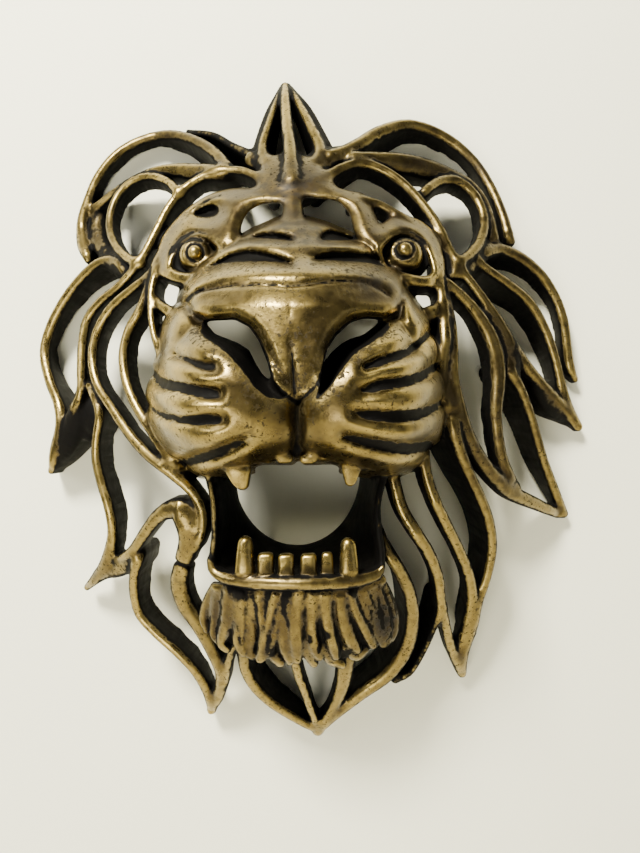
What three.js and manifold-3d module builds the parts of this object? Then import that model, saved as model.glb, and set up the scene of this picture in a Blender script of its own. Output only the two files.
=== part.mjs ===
// Openwork lion head wall mask: one hollow casting with a roaring muzzle, a beard fringe and a pierced mane.
// Frame: millimetres, +Z up, +X to the right as you face the mask. The wall is the plane Y = 0 and the lion
// looks along -Y. The origin is on the flat back of the crest, where the mask bears on the wall and hangs.
import * as THREE from "three";
import { mergeVertices } from "three/addons/utils/BufferGeometryUtils.js";
import Module from "manifold-3d";

// Driving sizes, in millimetres
const maskHeight = 400; // crest tip to beard tip
const rimRise = 17; // front of the mane above the wall, all round the edge
const browRise = 82; // front of the mane above the wall, round the face
const muzzleRise = 146; // front of the whisker pads above the wall
const noseRise = 141; // tip of the nose above the wall
const lipRise = 110; // front of the lower lip above the wall
const faceBack = 66; // open back rim of the hollow muzzle above the wall
const jawBack = 14; // back edge of the mouth tube above the wall
const strandDepth = 15; // depth of a mane strand at the rim, front to back
const depthGain = 0.1; // a strand is this much deeper for each millimetre that it stands off the wall
const shellWall = 6; // wall of the hollow muzzle
const jawWall = 5; // wall of the mouth tube
const slotDepth = 4; // whisker grooves and brow wrinkles, cut into the shell
const slotClearance = 8; // how far a groove's cutter stands proud of the shell
const noseRounding = 5; // how far the nose falls back at its sides
const noseDepth = 14.4; // thickness of the nose between the nostrils
const eyeballRadius = 11;
const pupilRadius = 4;
const eyeDrop = 15; // centre of an eyeball below the front of the brow
const tuftDepth = 11; // thickness of the beard
const gumLift = 16; // front of the gum beyond the lower lip
const gumDepth = 20;
const stationStep = 24; // longest straight stretch of a strand
const widthsDrawnAt = 400; // height of the mask for which the half widths in the lists below are stated

// The front drawing. The casting was drawn as it is seen from one point straight in front of it, so what
// stands nearer that point is drawn larger. A drawing point is [across, down] in drawing units. place() makes
// it real.
const drawnHeight = 631; // crest tip to beard tip in the drawing, at the wall
const sightPoint = { across: 320, down: 426, distance: 660 }; // distance in drawing units too
const hangingPoint = { across: 290, down: 148 }; // the origin, at the wall
const drawingTilt = THREE.MathUtils.degToRad(2.9); // the mask was drawn leaning this far to its left
const unit = maskHeight / drawnHeight;
const widthShare = maskHeight / widthsDrawnAt;

function place(across, down, rise) {
  const share = 1 - rise / (sightPoint.distance * unit);
  const right = (sightPoint.across - hangingPoint.across + (across - sightPoint.across) * share) * unit;
  const up = (hangingPoint.down - sightPoint.down - (down - sightPoint.down) * share) * unit;
  return new THREE.Vector3(
    right * Math.cos(drawingTilt) + up * Math.sin(drawingTilt),
    -rise,
    up * Math.cos(drawingTilt) - right * Math.sin(drawingTilt),
  );
}

// The mane is a dome: rimRise at the oval outline, browRise round the face.
const dome = {
  across: 305, down: 410, halfWidth: 265, halfHeight: 325, faceShare: 0.6, lowest: 13, fullest: 1.05,
};

function domeRise(across, down) {
  const reach = Math.hypot((across - dome.across) / dome.halfWidth, (down - dome.down) / dome.halfHeight);
  const share = (1 - reach ** 2) / (1 - dome.faceShare ** 2);
  return Math.max(dome.lowest, rimRise + (browRise - rimRise) * Math.min(share, dome.fullest));
}

// Strands: name, then drawing points [across, down, half width in mm]. lift raises a strand off the dome,
// wall carries its back right down to the wall.
const strands = [
  {
    name: "crest middle", wall: true, lift: 8,
    route: [[285, 84, 2.2], [285, 102, 3.2], [287, 125, 3.6], [290, 150, 4.2], [291, 184, 6]],
  },
  {
    name: "crest left", wall: true,
    route: [[283, 85, 2], [275, 104, 2.2], [268, 124, 2.4], [262, 147, 3], [268, 166, 4.5]],
  },
  {
    name: "crest right", wall: true,
    route: [[288, 85, 2], [299, 103, 2.6], [310, 124, 3.2], [320, 147, 3.8], [315, 166, 4.5]],
  },
  {
    name: "crest left edge", wall: true, lift: -7,
    route: [[281, 88, 1.6], [268, 111, 1.8], [259, 138, 2.4], [256, 154, 3.4]],
  },
  {
    name: "crest right edge", wall: true, lift: -7,
    route: [[290, 87, 1.6], [308, 107, 1.8], [322, 133, 2.4], [330, 152, 3.6]],
  },
  { name: "forehead knot", route: [[262, 166, 6], [290, 176, 10], [322, 168, 7]] },
  {
    name: "left ear arc", wall: true,
    route: [[229, 170, 4.2], [215, 152, 3.6], [197, 140, 3.4], [171, 133, 3.4], [143, 138, 3.4],
      [117, 152, 3.4], [98, 174, 3.2], [87, 199, 3.4], [81, 222, 4.2], [82, 243, 4.8], [87, 259, 2.6]],
  },
  {
    name: "left ear back", wall: true, lift: -8,
    route: [[188, 131, 2], [213, 134, 2.2], [231, 144, 2.4], [247, 152, 3.4], [264, 160, 5]],
  },
  {
    name: "left ear band",
    route: [[226, 171, 5], [200, 170, 5.5], [177, 168, 4.6], [156, 169, 3], [136, 177, 2.6],
      [115, 190, 2.4], [99, 203, 2.8], [86, 213, 3.4]],
  },
  {
    name: "left ring", lift: 3,
    route: [[180, 193, 2.6], [166, 180, 2.6], [149, 175, 2.6], [132, 180, 2.6], [118, 193, 2.7],
      [110, 211, 2.8], [109, 230, 2.8], [116, 247, 2.8], [128, 258, 2.8], [140, 263, 2.8]],
  },
  {
    name: "left ring web", lift: -7,
    route: [[107, 196, 3], [97, 216, 4.6], [97, 239, 5.4], [109, 257, 5.2], [124, 268, 4.4]],
  },
  {
    name: "left long strand",
    route: [[272, 193, 3.2], [261, 179, 2.7], [243, 170, 2.7], [221, 170, 2.7], [200, 177, 2.7],
      [181, 190, 2.7], [167, 208, 2.7], [155, 231, 2.7], [143, 254, 2.8], [131, 271, 2.7],
      [116, 287, 2.7], [99, 301, 2.8], [86, 319, 3], [81, 343, 3], [80, 369, 3], [79, 393, 2.5],
      [70, 415, 2.6]],
  },
  {
    name: "left second strand",
    route: [[161, 257, 2.4], [149, 274, 2.5], [130, 289, 2.6], [110, 307, 2.9], [96, 331, 3],
      [91, 357, 3], [96, 384, 3], [112, 410, 3], [129, 435, 3.2], [148, 456, 3.4], [170, 473, 3.4],
      [190, 491, 3], [201, 510, 2.7], [202, 530, 2.5], [195, 547, 2.6]],
  },
  {
    name: "left third strand",
    route: [[151, 271, 2.4], [146, 290, 2.5], [139, 309, 2.8], [128, 329, 2.9], [122, 354, 2.9],
      [125, 381, 2.9], [135, 406, 2.9], [149, 429, 3], [164, 452, 3], [182, 472, 3.2]],
  },
  {
    name: "left face edge", lift: 2,
    route: [[158, 262, 3], [151, 288, 2.2], [150, 312, 2], [153, 334, 2], [160, 354, 2.6]],
  },
  { name: "left cheek bar", route: [[150, 297, 3], [163, 307, 3], [175, 315, 3.6], [190, 322, 4.2]] },
  { name: "left lower lid", lift: 4, route: [[158, 270, 2.4], [175, 277, 2.5], [196, 280, 3.6]] },
  {
    name: "left lock rim", wall: true,
    route: [[124, 270, 2.6], [112, 259, 2.7], [97, 262, 3], [79, 278, 3.2], [62, 301, 3.4],
      [49, 327, 3.6], [43, 353, 3.6], [48, 380, 3.5], [57, 404, 3.6], [60, 426, 4.6], [54, 451, 4.4],
      [50, 471, 2.4]],
  },
  {
    name: "left lock tail", wall: true, lift: -4,
    route: [[80, 388, 3.4], [77, 412, 6.4], [68, 437, 7], [57, 461, 4]],
  },
  { name: "left lock web", wall: true, lift: -13, route: [[87, 384, 4], [93, 408, 5.6], [88, 434, 5]] },
  {
    name: "left lower rim", wall: true,
    route: [[89, 386, 3], [98, 412, 3], [95, 440, 2.7], [95, 461, 3], [101, 486, 3.2], [108, 510, 3.2],
      [111, 534, 3.2], [107, 557, 4.2], [100, 573, 4.4], [86, 588, 2.2]],
  },
  {
    name: "left lower tail", wall: true, lift: -3,
    route: [[100, 574, 4], [116, 570, 5.6], [137, 562, 4.6]],
  },
  {
    name: "left loop",
    route: [[117, 561, 2.6], [131, 552, 3.2], [144, 533, 3.5], [158, 516, 4.2], [176, 510, 6.4],
      [187, 522, 8], [188, 541, 6.4], [182, 562, 5.2], [178, 585, 5.4], [184, 606, 5.2], [198, 628, 4.6],
      [211, 652, 4.2], [221, 676, 4.2], [218, 697, 3.8], [211, 711, 2.4]],
  },
  {
    name: "left bottom rim", wall: true,
    route: [[138, 555, 4.2], [133, 575, 3.1], [133, 595, 3.1], [139, 616, 3.1], [156, 635, 3.1],
      [176, 653, 3.1], [194, 672, 3.1], [206, 692, 3.4], [211, 711, 2.4]],
  },
  { name: "left beard strand", route: [[240, 590, 3], [236, 622, 2.4], [232, 648, 2.2], [223, 681, 3]] },
  {
    name: "bottom left rim", wall: true,
    route: [[258, 560, 5], [248, 612, 4.4], [243, 658, 3.7], [250, 682, 3.6], [267, 701, 3.5],
      [291, 717, 3.4], [318, 732, 2.8]],
  },
  {
    name: "bottom left strand",
    route: [[284, 565, 4.4], [288, 630, 3.4], [297, 672, 2.9], [304, 692, 2.7], [311, 712, 2.5],
      [318, 730, 2.4]],
  },
  {
    name: "bottom right strand",
    route: [[344, 565, 6.5], [349, 630, 6.5], [345, 674, 5.2], [340, 695, 4.2], [331, 713, 3.2],
      [319, 729, 2.4]],
  },
  {
    name: "bottom right rim", wall: true,
    route: [[377, 528, 3.4], [387, 552, 3.4], [401, 574, 3.9], [411, 598, 3.9], [413, 625, 4.3],
      [406, 652, 4.7], [388, 676, 4.9], [362, 695, 4.5], [338, 714, 3.8], [318, 732, 2.8]],
  },
  {
    name: "bottom outer fin", wall: true, lift: -2,
    route: [[443, 606, 2.4], [434, 630, 1.9], [424, 652, 1.9], [411, 673, 2], [396, 680, 3.4]],
  },
  {
    name: "right jaw strand",
    route: [[390, 462, 4], [396, 488, 3.7], [403, 511, 3.7], [416, 533, 3.7], [430, 555, 3.5],
      [439, 579, 3.3], [442, 605, 3.3], [447, 630, 3.2], [453, 652, 3.2], [462, 673, 2.6]],
  },
  {
    name: "right middle strand",
    route: [[423, 444, 3.6], [427, 474, 3.3], [435, 499, 3.3], [447, 525, 3.3], [460, 551, 3.3],
      [470, 577, 3.5], [473, 601, 3.8], [470, 627, 5.2], [463, 653, 5.2], [463, 675, 2.4]],
  },
  {
    name: "right bottom rim", wall: true,
    route: [[451, 410, 4.4], [459, 445, 3.7], [469, 471, 3.3], [481, 497, 3.3], [490, 522, 3.3],
      [493, 548, 3.3], [488, 576, 3.2], [479, 602, 3.6], [471, 632, 4.6]],
  },
  {
    name: "right face strand",
    route: [[446, 292, 2.4], [453, 322, 2.3], [455, 350, 2.4], [455, 378, 2.9], [459, 403, 4.2],
      [466, 429, 4.6], [478, 453, 4.2], [494, 475, 4.4], [513, 493, 4.8], [536, 504, 4.2],
      [559, 514, 3.2]],
  },
  {
    name: "right face edge", lift: 1,
    route: [[438, 262, 3.2], [441, 285, 2.8], [444, 310, 3.4], [446, 340, 3.6], [443, 368, 3.6],
      [444, 392, 4.4], [452, 414, 4.6]],
  },
  {
    name: "right broad strand",
    route: [[441, 277, 2.8], [458, 291, 3.2], [475, 309, 3.8], [490, 333, 4.8], [498, 358, 5.2],
      [499, 385, 4.8], [497, 411, 4.1], [499, 437, 3.8], [504, 462, 4], [514, 487, 4.8]],
  },
  {
    name: "right broad web", lift: -3,
    route: [[484, 306, 4.4], [500, 335, 6.4], [510, 362, 6.8], [517, 381, 4]],
  },
  {
    name: "right long strand",
    route: [[298, 189, 4.6], [320, 180, 3.8], [339, 168, 3.2], [360, 162, 3.1], [382, 168, 3.1],
      [403, 182, 3.1], [423, 203, 3.1], [439, 226, 3.1], [450, 249, 3.1], [463, 270, 2.9],
      [480, 293, 3.1], [497, 318, 3.8], [511, 342, 4.2], [527, 365, 4], [545, 386, 3.6], [562, 405, 4.2],
      [579, 427, 2.4]],
  },
  {
    name: "right lock rim", wall: true,
    route: [[474, 256, 3], [489, 269, 2.9], [509, 283, 3.1], [529, 300, 3.3], [543, 322, 3.3],
      [553, 347, 3.3], [560, 373, 3.3], [566, 399, 4.2], [579, 426, 2.6]],
  },
  {
    name: "right lock tail", wall: true, lift: -5,
    route: [[533, 380, 3.4], [550, 402, 6.2], [567, 416, 5.4]],
  },
  {
    name: "right outer rim", wall: true,
    route: [[482, 254, 3.6], [500, 248, 3.6], [521, 256, 3.8], [542, 274, 3.8], [557, 298, 3.7],
      [565, 322, 3.6], [568, 346, 3.5], [571, 366, 3.5], [576, 379, 2.4]],
  },
  {
    name: "right lower rim", wall: true,
    route: [[508, 366, 4.6], [520, 385, 3.2], [529, 407, 3], [537, 433, 3], [545, 461, 3.1],
      [555, 488, 3.3], [565, 514, 3.2]],
  },
  {
    name: "right ear arc", wall: true,
    route: [[324, 158, 6], [342, 151, 4.6], [360, 142, 4.6], [380, 130, 4.6], [405, 123, 4],
      [430, 128, 3.7], [455, 142, 3.7], [477, 163, 3.5], [493, 189, 3.5], [504, 215, 3.5],
      [511, 240, 3.8]],
  },
  {
    name: "right ear band",
    route: [[346, 157, 5], [374, 158, 5.4], [400, 161, 6.6], [426, 166, 6.6], [450, 173, 4.8],
      [470, 183, 3.6], [484, 200, 3.4], [491, 222, 4.2], [494, 243, 4.8]],
  },
  {
    name: "right ring", lift: 3,
    route: [[423, 193, 3.3], [436, 182, 3.3], [452, 178, 3.3], [467, 185, 3.3], [479, 200, 3.3],
      [485, 219, 3.3], [482, 238, 3.3], [472, 252, 3.3], [457, 264, 3.3]],
  },
  {
    name: "right ring knot", lift: -2,
    route: [[490, 238, 4.4], [480, 253, 4.6], [467, 267, 4.8], [452, 275, 3.4]],
  },
  {
    name: "left brow",
    route: [[284, 187, 5.4], [264, 194, 4.4], [250, 205, 5.2], [243, 222, 5.8], [239, 240, 5.4]],
  },
  {
    name: "right brow",
    route: [[300, 190, 5], [325, 196, 4.2], [345, 206, 4.6], [357, 224, 5], [364, 243, 5.4]],
  },
  { name: "forehead ridge", lift: 2, route: [[290, 184, 5], [291, 205, 2.8], [294, 228, 4.4]] },
  {
    name: "left eye hood", lift: 2,
    route: [[262, 194, 4.4], [238, 197, 6], [218, 203, 6.4], [198, 210, 6], [181, 222, 6], [169, 240, 6],
      [163, 262, 4]],
  },
  { name: "left eye mound", lift: 2, route: [[242, 222, 8], [222, 228, 9], [202, 227, 7], [184, 234, 5]] },
  {
    name: "right eye hood", lift: 2,
    route: [[352, 208, 5], [368, 222, 8], [388, 228, 7.4], [408, 226, 6.4], [425, 236, 6], [436, 254, 5],
      [439, 274, 4]],
  },
  {
    name: "right eye slip", lift: 1,
    route: [[352, 199, 3], [376, 202, 2.6], [396, 213, 2.8], [417, 228, 3.4]],
  },
  { name: "right lower lid", lift: 4, route: [[396, 278, 4.6], [414, 280, 3.4], [436, 283, 2.8]] },
  { name: "right cheek bar", route: [[408, 323, 5], [426, 315, 4.6], [444, 305, 3.4]] },
];

const mouthCurve = 0.0016; // how fast mouth and beard fall back to each side, in mm a squared drawing unit
const mouthMiddle = 297;

// Tufts of the beard: [across at the lip, across at the tip, down at the tip, half width in mm].
const tufts = [
  [212, 204, 628, 4.6], [222, 214, 641, 4.8], [231, 229, 645, 4.6], [243, 243, 659, 4.8],
  [256, 258, 663, 4.6], [269, 270, 666, 4.6], [283, 285, 663, 5], [298, 296, 668, 4.8],
  [313, 314, 662, 4.8], [328, 330, 659, 5], [342, 346, 664, 4.6], [355, 362, 654, 4.8],
  [367, 376, 648, 4.6], [378, 389, 636, 4.6], [386, 397, 622, 4.2],
];
const beardTop = { down: 585, rise: lipRise - 3 };
const beardFoot = { down: 665, rise: lipRise - 24 };

// Teeth: [across, down at the root, down at the tip, half width in mm at the root, and at the tip, rise].
const teeth = [
  [245, 580, 537, 4.4, 1.6, lipRise - 7],
  [266, 580, 553, 3.7, 3.3, lipRise - 6],
  [286, 580, 554, 3.9, 3.5, lipRise - 5],
  [308, 580, 554, 4, 3.6, lipRise - 5],
  [327, 580, 553, 3.3, 2.8, lipRise - 6],
  [348, 580, 538, 4.4, 1.6, lipRise - 7],
  [239, 460, 491, 5.4, 1.8, lipRise + 4],
  [351, 458, 487, 4.8, 1.8, lipRise + 4],
  [268, 448, 463, 3.2, 2.4, lipRise + 8],
  [285, 448, 464, 4, 3.4, lipRise + 10],
  [308, 448, 464, 4.2, 3.6, lipRise + 10],
  [324, 448, 462, 3, 2.2, lipRise + 8],
];
const toothSides = 6;
const toothShoulder = { share: 0.7, swell: 0.4 }; // where along a tooth it turns in, and how far it swells

// The hollow face. Pads are rounded lumps. The bridge of the nose is an arch that widens towards the nose.
const pads = [
  { across: 233, down: 406, halfWidth: 86, halfHeight: 68 },
  { across: 363, down: 404, halfWidth: 82, halfHeight: 70 },
];
const cheeks = [
  { across: 194, down: 354, halfWidth: 37, halfHeight: 52 },
  { across: 402, down: 346, halfWidth: 36, halfHeight: 56 },
];
const padEquator = 84;
const cheekRise = 126;
const padSlices = { outside: 16, inside: 12 };
const cheekSlices = { outside: 10, inside: 8 };
// Sections of the bridge: [down, left edge, right edge, rise along the middle, rise at the edges].
const bridge = [
  [216, 278, 306, 86, 82], [228, 257, 342, 96, 84], [240, 236, 363, 105, 85], [252, 216, 380, 113, 87],
  [264, 201, 393, 121, 91], [278, 190, 401, 129, 100], [292, 186, 404, 134, 109], [306, 186, 404, 137, 112],
  [318, 191, 399, 138, 112],
];
// Sections of the nose between the nostrils: [down, left edge, right edge].
const noseStem = [
  [308, 232, 366], [322, 243, 352], [334, 257, 336], [350, 266, 326], [368, 271, 321], [386, 277, 317],
  [402, 291, 304],
];
const stemSteps = [-1, -0.7, 0.7, 1];
// Nostrils: outline at the front of the shell and outline of what is open right through.
const nostrilSpan = { belowBack: 10, waist: 40, beyondFront: 4 };
const nostrils = [
  {
    front: [[193, 317], [210, 320], [235, 319], [250, 326], [260, 340], [268, 360], [273, 380],
      [284, 396], [270, 398], [256, 388], [243, 369], [225, 350], [200, 333]],
    back: [[205, 322], [212, 321], [235, 320], [249, 327], [259, 341], [267, 361], [271, 378], [270, 386],
      [263, 381], [256, 370], [249, 355], [238, 346], [215, 335]],
  },
  {
    front: [[400, 313], [385, 318], [365, 318], [350, 322], [335, 335], [325, 350], [320, 368],
      [310, 394], [326, 388], [341, 368], [353, 353], [371, 342], [391, 328]],
    back: [[380, 320], [372, 319], [362, 319], [350, 323], [336, 336], [326, 351], [321, 362], [322, 365],
      [331, 353], [341, 344], [350, 339], [363, 335], [375, 326]],
  },
];
// Grooves: drawing points [across, down, half width in mm].
const padGrooves = [
  [[180, 358, 0.6], [197, 364, 1.3], [213, 368, 1.6]], [[153, 377, 1.6], [172, 389, 2.2], [221, 394, 2.4]],
  [[150, 408, 0.8], [176, 419, 1.8], [221, 420, 2]], [[178, 464, 1.2], [206, 457, 2.2], [246, 441, 0.8]],
  [[366, 366, 1.5], [398, 357, 1.9], [429, 335, 1.2]], [[363, 391, 1.6], [392, 386, 2.5], [437, 366, 1.5]],
  [[357, 413, 0.9], [392, 417, 2.5], [440, 404, 1.4]], [[344, 437, 0.8], [374, 444, 1.9], [420, 449, 2.3]],
];
const bridgeGrooves = [
  [[250, 239, 0.5], [272, 236, 1.3], [292, 240, 0.6]], [[321, 236, 1.8], [333, 235, 2], [352, 240, 0.6]],
  [[207, 266, 0.7], [238, 255, 2], [268, 257, 2.2], [294, 263, 0.6]],
  [[314, 257, 0.7], [340, 256, 1.8], [365, 257, 1.9], [386, 262, 0.7]],
];

// Section of a strand, as shares of its half width: [across, back from the front].
const sectionFront = [[-1, 0.9], [0, 0], [1, 0.9]];

const wasm = await Module();
wasm.setup();

function solid(geometry) {
  const bare = geometry.clone();
  bare.deleteAttribute("normal");
  bare.deleteAttribute("uv");
  const merged = mergeVertices(bare, 1e-4);
  const made = new wasm.Manifold(new wasm.Mesh({
    numProp: 3,
    vertProperties: new Float32Array(merged.attributes.position.array),
    triVerts: new Uint32Array(merged.index.array),
  }));
  if (made.volume() > 0) return made;
  bare.setIndex(Array.from(bare.index.array).reverse());
  return solid(bare);
}

function joinAll(parts) {
  return parts.reduce((whole, part) => whole.add(part));
}

// A closed skin over rings with the same number of points, with flat ends. cap holds the triangles of an end.
function skin(rings, cap) {
  const count = rings[0].length;
  const index = [];
  for (let r = 0; r + 1 < rings.length; r++) {
    for (let i = 0; i < count; i++) {
      const a = r * count + i;
      const b = r * count + ((i + 1) % count);
      index.push(a, b, a + count, b, b + count, a + count);
    }
  }
  const last = (rings.length - 1) * count;
  const fan = Array.from({ length: count - 2 }, (_, i) => [0, i + 1, i + 2]);
  for (const [a, b, c] of cap ?? fan) {
    index.push(a, c, b, last + a, last + b, last + c);
  }
  const geometry = new THREE.BufferGeometry();
  const positions = rings.flat().flatMap((p) => [p.x, p.y, p.z]);
  geometry.setAttribute("position", new THREE.Float32BufferAttribute(positions, 3));
  geometry.setIndex(index);
  return solid(geometry);
}

// A strand: house-shaped section swept along its route. riseAt gives its front and backAt its back, as heights
// above the wall.
function sweep(route, riseAt, backAt) {
  const corners = route.map(([across, down, half]) => new THREE.Vector3(across, down, half * widthShare));
  const curve = new THREE.CatmullRomCurve3(corners);
  const stations = Math.max(2, Math.round(curve.getLength() / (stationStep / unit)));
  const points = curve.getSpacedPoints(stations);
  const rings = points.map((point, i) => {
    const share = i / stations;
    const rise = riseAt(point.x, point.y, share);
    const centre = place(point.x, point.y, rise);
    const before = points[Math.max(i - 1, 0)];
    const after = points[Math.min(i + 1, stations)];
    const across = new THREE.Vector3(after.y - before.y, 0, after.x - before.x).normalize();
    const half = point.z;
    const at = (u, y) => new THREE.Vector3(centre.x + across.x * u * half, y, centre.z + across.z * u * half);
    const back = -backAt(rise, share);
    return [at(-1, back), ...sectionFront.map(([u, v]) => at(u, centre.y + v * half)), at(1, back)];
  });
  return skin(rings);
}

function maneStrand({ route, lift = 0, wall = false }) {
  const riseAt = (across, down) => domeRise(across, down) + lift;
  const backAt = (rise) => (wall ? 0 : Math.max(0, rise - strandDepth - depthGain * rise));
  return sweep(route, riseAt, backAt);
}

// How much larger the drawing shows what stands this far off the wall
function enlargement(rise) {
  return 1 / (1 - rise / (sightPoint.distance * unit));
}

function lump({ across, down, halfWidth, halfHeight }, top, wall, slices) {
  const inset = (wall / unit) * enlargement(top);
  const ball = new THREE.SphereGeometry(1, slices, Math.round(slices / 2));
  const position = ball.attributes.position;
  for (let i = 0; i < position.count; i++) {
    const point = place(
      across + position.getX(i) * (halfWidth - inset),
      down + position.getZ(i) * (halfHeight - inset),
      padEquator + position.getY(i) * (top - padEquator - wall),
    );
    position.setXYZ(i, point.x, point.y, point.z);
  }
  return solid(ball);
}

function lumpRise({ across, down, halfWidth, halfHeight }, top, x, y) {
  const reach = Math.hypot((x - across) / halfWidth, (y - down) / halfHeight);
  return padEquator + (top - padEquator) * Math.sqrt(Math.max(0, 1 - reach ** 2));
}

function padRise(x, y) {
  const padRises = pads.map((pad) => lumpRise(pad, muzzleRise, x, y));
  const cheekRises = cheeks.map((cheek) => lumpRise(cheek, cheekRise, x, y));
  return Math.max(...padRises, ...cheekRises);
}

const archSteps = [-1, -0.86, -0.6, -0.22, 0.22, 0.6, 0.86, 1];
const archPower = { flatness: 2.4, fullness: 0.6 };
const hollowRunsPast = { top: 4, bottom: 6 }; // drawing units, so that the hollow is open at both ends
const narrowestHollow = 2;
const archShape = (u) => (1 - Math.abs(u) ** archPower.flatness) ** archPower.fullness;

function bridgeRise(x, y) {
  const at = bridge.findIndex(([down]) => down > y);
  const [a, b] = [bridge[at - 1], bridge[at]];
  const between = a.map((value, i) => THREE.MathUtils.mapLinear(y, a[0], b[0], value, b[i]));
  const [, left, right, middle, edge] = between;
  const u = THREE.MathUtils.clamp((x - (left + right) / 2) / ((right - left) / 2), -1, 1);
  return edge + (middle - edge) * archShape(u);
}

// wall 0 gives the outside of the bridge, shellWall its inside.
function bridgeSolid(wall, back) {
  const rings = bridge.map(([down, left, right, middle, edge], i) => {
    const inset = (wall / unit) * enlargement(edge);
    const half = Math.max((right - left) / 2 - inset, narrowestHollow);
    const centre = (left + right) / 2;
    const beyond = { 0: -hollowRunsPast.top, [bridge.length - 1]: hollowRunsPast.bottom }[i] ?? 0;
    const level = down + (wall > 0 ? beyond : 0);
    const riseAcross = (u) => edge - wall + (middle - edge) * archShape(u);
    const front = archSteps.map((u) => place(centre + u * half, level, riseAcross(u)));
    return [place(centre - half, level, back), ...front, place(centre + half, level, back)];
  });
  return skin(rings);
}

function noseSolid() {
  const bridgeEnd = bridge.at(-1)[3];
  const rings = noseStem.map(([down, left, right], i) => {
    const front = bridgeEnd + ((noseRise - bridgeEnd) * i) / (noseStem.length - 1);
    const back = front - noseDepth;
    const centre = (left + right) / 2;
    const half = (right - left) / 2;
    const arch = stemSteps.map((u) => place(centre + u * half, down, front - noseRounding * u ** 4));
    return [place(centre - half, down, back), ...arch, place(centre + half, down, back)];
  });
  return skin(rings);
}

// The triangles that close a ring of drawing points
function capOf(outline) {
  const contour = outline.map(([x, y]) => new THREE.Vector2(x, y));
  return THREE.ShapeUtils.triangulateShape(contour, []).map((corners) => corners.sort((a, b) => a - b));
}

function nostrilCut({ front, back }) {
  const ring = (outline, rise) => outline.map(([x, y]) => place(x, y, rise));
  return skin([
    ring(back, faceBack - nostrilSpan.belowBack),
    ring(back, muzzleRise - nostrilSpan.waist),
    ring(front, muzzleRise + nostrilSpan.beyondFront),
  ], capOf(front));
}

function grooveCut(route, riseAt) {
  return sweep(route, (x, y) => riseAt(x, y) + slotClearance, (rise) => rise - slotClearance - slotDepth);
}

function block(width, depth, height, x, y, z) {
  return solid(new THREE.BoxGeometry(width, depth, height).translate(x, y, z));
}

function face() {
  const outside = joinAll([
    ...pads.map((pad) => lump(pad, muzzleRise, 0, padSlices.outside)),
    ...cheeks.map((cheek) => lump(cheek, cheekRise, 0, cheekSlices.outside)),
    bridgeSolid(0, faceBack),
  ]);
  const inside = joinAll([
    ...pads.map((pad) => lump(pad, muzzleRise, shellWall, padSlices.inside)),
    ...cheeks.map((cheek) => lump(cheek, cheekRise, shellWall, cheekSlices.inside)),
    bridgeSolid(shellWall, faceBack - slotClearance),
  ]);
  const behind = block(maskHeight, faceBack, maskHeight, 0, -faceBack / 2, -maskHeight / 2);
  const grooves = joinAll([
    ...padGrooves.map((route) => grooveCut(route, padRise)),
    ...bridgeGrooves.map((route) => grooveCut(route, bridgeRise)),
  ]);
  const openings = joinAll(nostrils.map(nostrilCut));
  return outside.subtract(inside).add(noseSolid()).subtract(behind).subtract(grooves).subtract(openings);
}

// The mouth tube: lower lip and both corners of the mouth, its walls running straight back towards the wall.
// Lower down it is filled in to a round throat at the back.
const mouthRim = [
  [203, 462], [208, 482], [213, 505], [215, 535], [213, 560], [222, 578], [248, 585], [300, 587],
  [348, 584], [372, 578], [381, 560], [378, 530], [378, 505], [385, 478], [392, 460],
];
const throat = { across: 299, down: 470, halfWidth: 70, halfHeight: 75, front: 88, overrun: 1 };

function mouthRise(across) {
  return lipRise - mouthCurve * (across - mouthMiddle) ** 2;
}

function mouthTube() {
  const route = mouthRim.map(([across, down]) => [across, down, jawWall / 2]);
  return sweep(route, mouthRise, () => jawBack);
}

function rimRing(rise) {
  return mouthRim.map(([across, down]) => {
    const { x, z } = place(across, down, mouthRise(across));
    return new THREE.Vector3(x, -rise, z);
  });
}

// What the rim of the mouth encloses, from one height above the wall to another
function mouthSpace(from, to) {
  return skin([rimRing(from), rimRing(to)], capOf(mouthRim));
}

function throatFill() {
  const turns = mouthRim.map(([across, down]) => Math.atan2(down - throat.down, across - throat.across));
  const ovalAt = (rise) => turns.map((turn) => place(
    throat.across + throat.halfWidth * Math.cos(turn), throat.down + throat.halfHeight * Math.sin(turn), rise,
  ));
  const funnel = skin([
    ovalAt(jawBack - throat.overrun), ovalAt(jawBack + throat.overrun), rimRing(throat.front),
  ], capOf(mouthRim));
  const { z } = place(throat.across, throat.down, 0);
  const above = block(maskHeight, lipRise, maskHeight, 0, -lipRise / 2, z + maskHeight / 2);
  return mouthSpace(jawBack, throat.front - throat.overrun).subtract(funnel).subtract(above);
}

// Along a tuft: share of the way down, share of the way across to its tip, share of its half width.
const tuftShape = [[0, 0, 1], [0.45, 0.33, 1.05], [0.72, 0.5, 0.9], [1, 1, 0.35]];

function tuft([top, foot, tip, half]) {
  const route = tuftShape.map(([down, across, width]) => [
    top + (foot - top) * across, beardTop.down + (tip - beardTop.down) * down, half * width,
  ]);
  const fall = (beardTop.rise - beardFoot.rise) / (beardFoot.down - beardTop.down);
  const riseAt = (x, y) => beardTop.rise - fall * (y - beardTop.down) - mouthCurve * (x - mouthMiddle) ** 2;
  return sweep(route, riseAt, (rise) => rise - tuftDepth);
}

function tooth([across, root, tip, rootHalf, tipHalf, rise]) {
  const ring = (down, half) => Array.from({ length: toothSides }, (_, i) => {
    const point = place(across, down, rise);
    const turn = (i / toothSides) * 2 * Math.PI;
    const reach = half * widthShare;
    return new THREE.Vector3(point.x + Math.cos(turn) * reach, point.y + Math.sin(turn) * reach, point.z);
  });
  const shoulder = root + (tip - root) * toothShoulder.share;
  const shoulderHalf = (rootHalf + tipHalf) / 2 + toothShoulder.swell;
  return skin([ring(root, rootHalf), ring(shoulder, shoulderHalf), ring(tip, tipHalf)]);
}

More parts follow.
